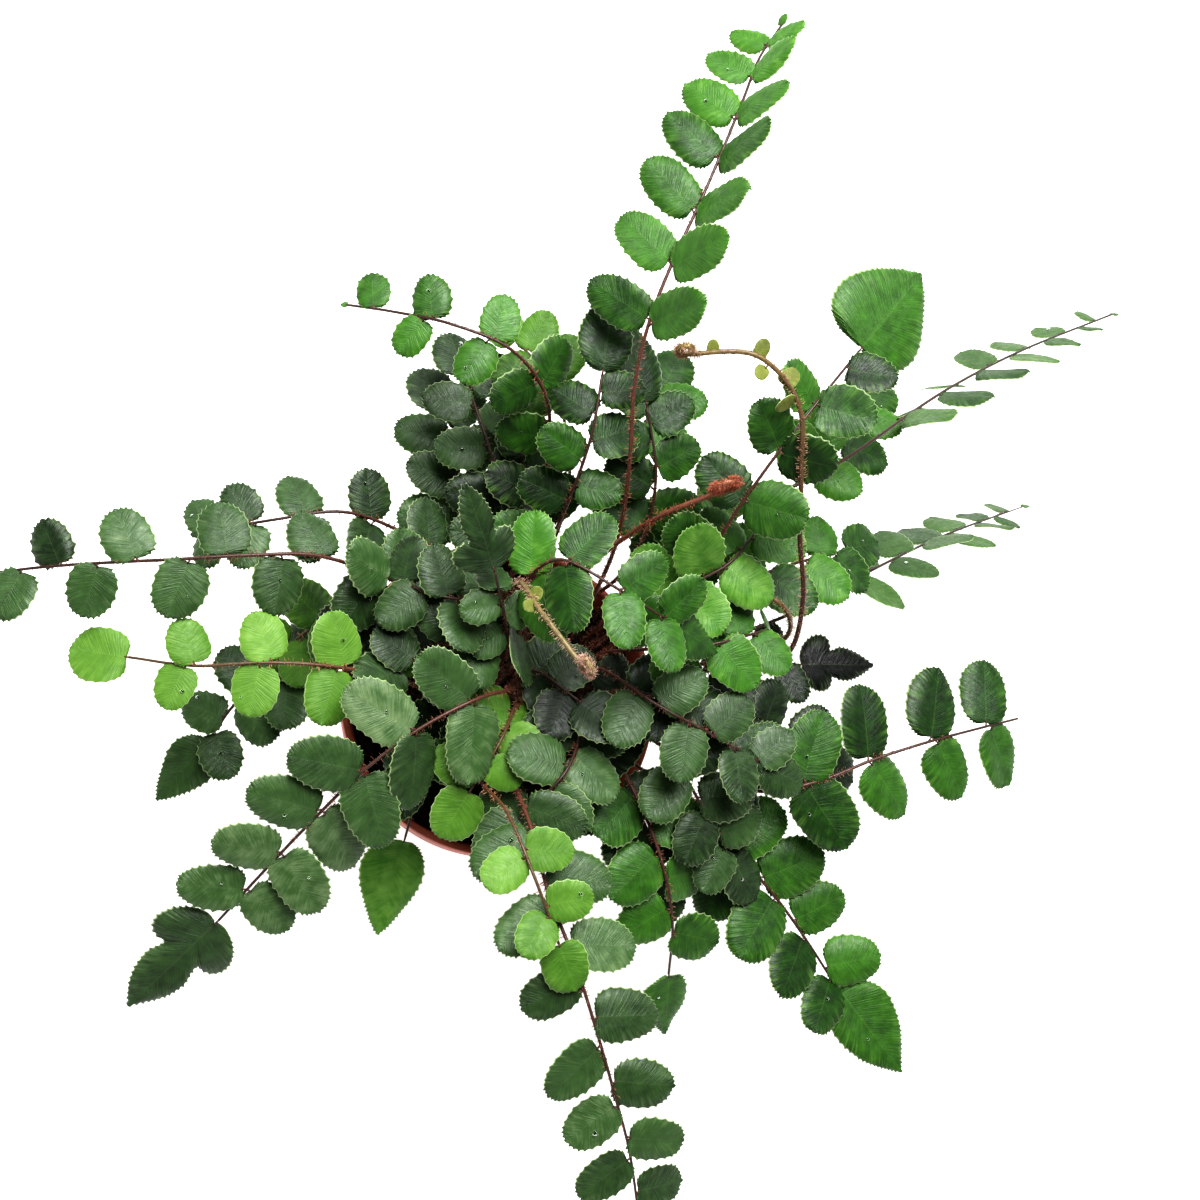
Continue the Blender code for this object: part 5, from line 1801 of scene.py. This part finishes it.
def make_peat():
    """The finished peat, its crumbs and fibres in one piece."""
    draw = random.Random("peat crumbs")
    growth = Growth()
    points, faces = peat_body()
    growth.add(points, faces, 0, [0.0] * len(points))
    for index in range(CRUMBS + FIBRES):
        radius = PEAT_REACH * math.sqrt(draw.random())
        angle = draw.uniform(0.0, math.tau)
        x, y = radius * math.cos(angle), radius * math.sin(angle)
        if index < CRUMBS:
            points, faces = crumb(x, y, draw.uniform(*CRUMB_SIZES), draw)
        else:
            points, faces = fibre(x, y, draw)
        growth.add(points, faces, 0, [0.0] * len(points))
    piece = mesh_piece("peat_fill", growth.points, growth.faces, [peat_finish()])
    put_in_place(piece, "soil")
    print("peat triangles:", sum(len(face) - 2 for face in growth.faces))


make_peat()

# %% [markdown]
# ## Drops of water
# The plant has just been misted, and a few small drops lie on its leaflets. A drop is a flattened
# dome of clear water that sits on the leaflet's upper side. It is made as a small turned body and
# placed a little off the midrib, on about one in four of the larger, level leaflets.

# %% Water drops
# How many leaflets carry a drop, how big and level they are, and the drop's size and profile
DROP_SHARE = 0.25
LEAST_LEAF = 12.0
LEAST_LEVEL = 0.6
DROP_SIZES = (0.35, 0.8)
DROP_RINGS = ((1.0, 0.0), (0.97, 0.3), (0.75, 0.62), (0.4, 0.8))
DROP_TOP = 0.86
DROP_SIDES = 12


def water_finish():
    """Clear water with a skin that is very slightly uneven."""
    made = Surface("water")
    ripple = made.speckle(900.0, 2.0)
    made.colour(made.blend(made.ranged(ripple, 0.3, 0.7), shade(244, 250, 246),
                           shade(255, 255, 255)))
    made.roughen(ripple, 0.01, 0.05)
    made.relief(ripple, 0.1, 0.02)
    made.shader.inputs["IOR"].default_value = 1.33
    made.shader.inputs["Transmission Weight"].default_value = 1.0
    return made.material


def drop_shape(blade, across, along, size):
    """A flattened dome of water on a leaflet, in millimetres."""
    lift = LEAF_THICK / 2 - blade.bend * along**2 / blade.length
    centre = blade.root + blade.across * across + blade.along * along + blade.upper * lift
    points = []
    for radius, height in DROP_RINGS:
        for corner in range(DROP_SIDES):
            angle = math.tau * corner / DROP_SIDES
            out = blade.across * math.cos(angle) + blade.along * math.sin(angle)
            points.append(tuple(centre + out * (size * radius) + blade.upper * (size * height)))
    points.append(tuple(centre + blade.upper * (size * DROP_TOP)))
    faces = [tuple(range(DROP_SIDES))[::-1]] + band_faces(len(DROP_RINGS), DROP_SIDES)
    low = (len(DROP_RINGS) - 1) * DROP_SIDES
    faces += [(low + c, low + (c + 1) % DROP_SIDES, len(points) - 1) for c in range(DROP_SIDES)]
    return points, faces


def make_drops():
    """All drops as one piece."""
    draw = random.Random("water")
    growth = Growth()
    for frond in FRONDS:
        for blade in blades[frond.name]:
            if (blade.length < LEAST_LEAF or draw.random() > DROP_SHARE
                    or blade.upper.z < LEAST_LEVEL):
                continue
            across = draw.uniform(-0.25, 0.25) * blade.wide * blade.length
            along = draw.uniform(0.3, 0.75) * blade.length
            points, faces = drop_shape(blade, across, along, draw.uniform(*DROP_SIZES))
            growth.add(points, faces, 0, [0.0] * len(points))
    piece = mesh_piece("water_drops", growth.points, growth.faces, [water_finish()])
    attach(piece, "root")
    print("drops:", len(growth.points) // (len(DROP_RINGS) * DROP_SIDES + 1))


make_drops()

# %% [markdown]
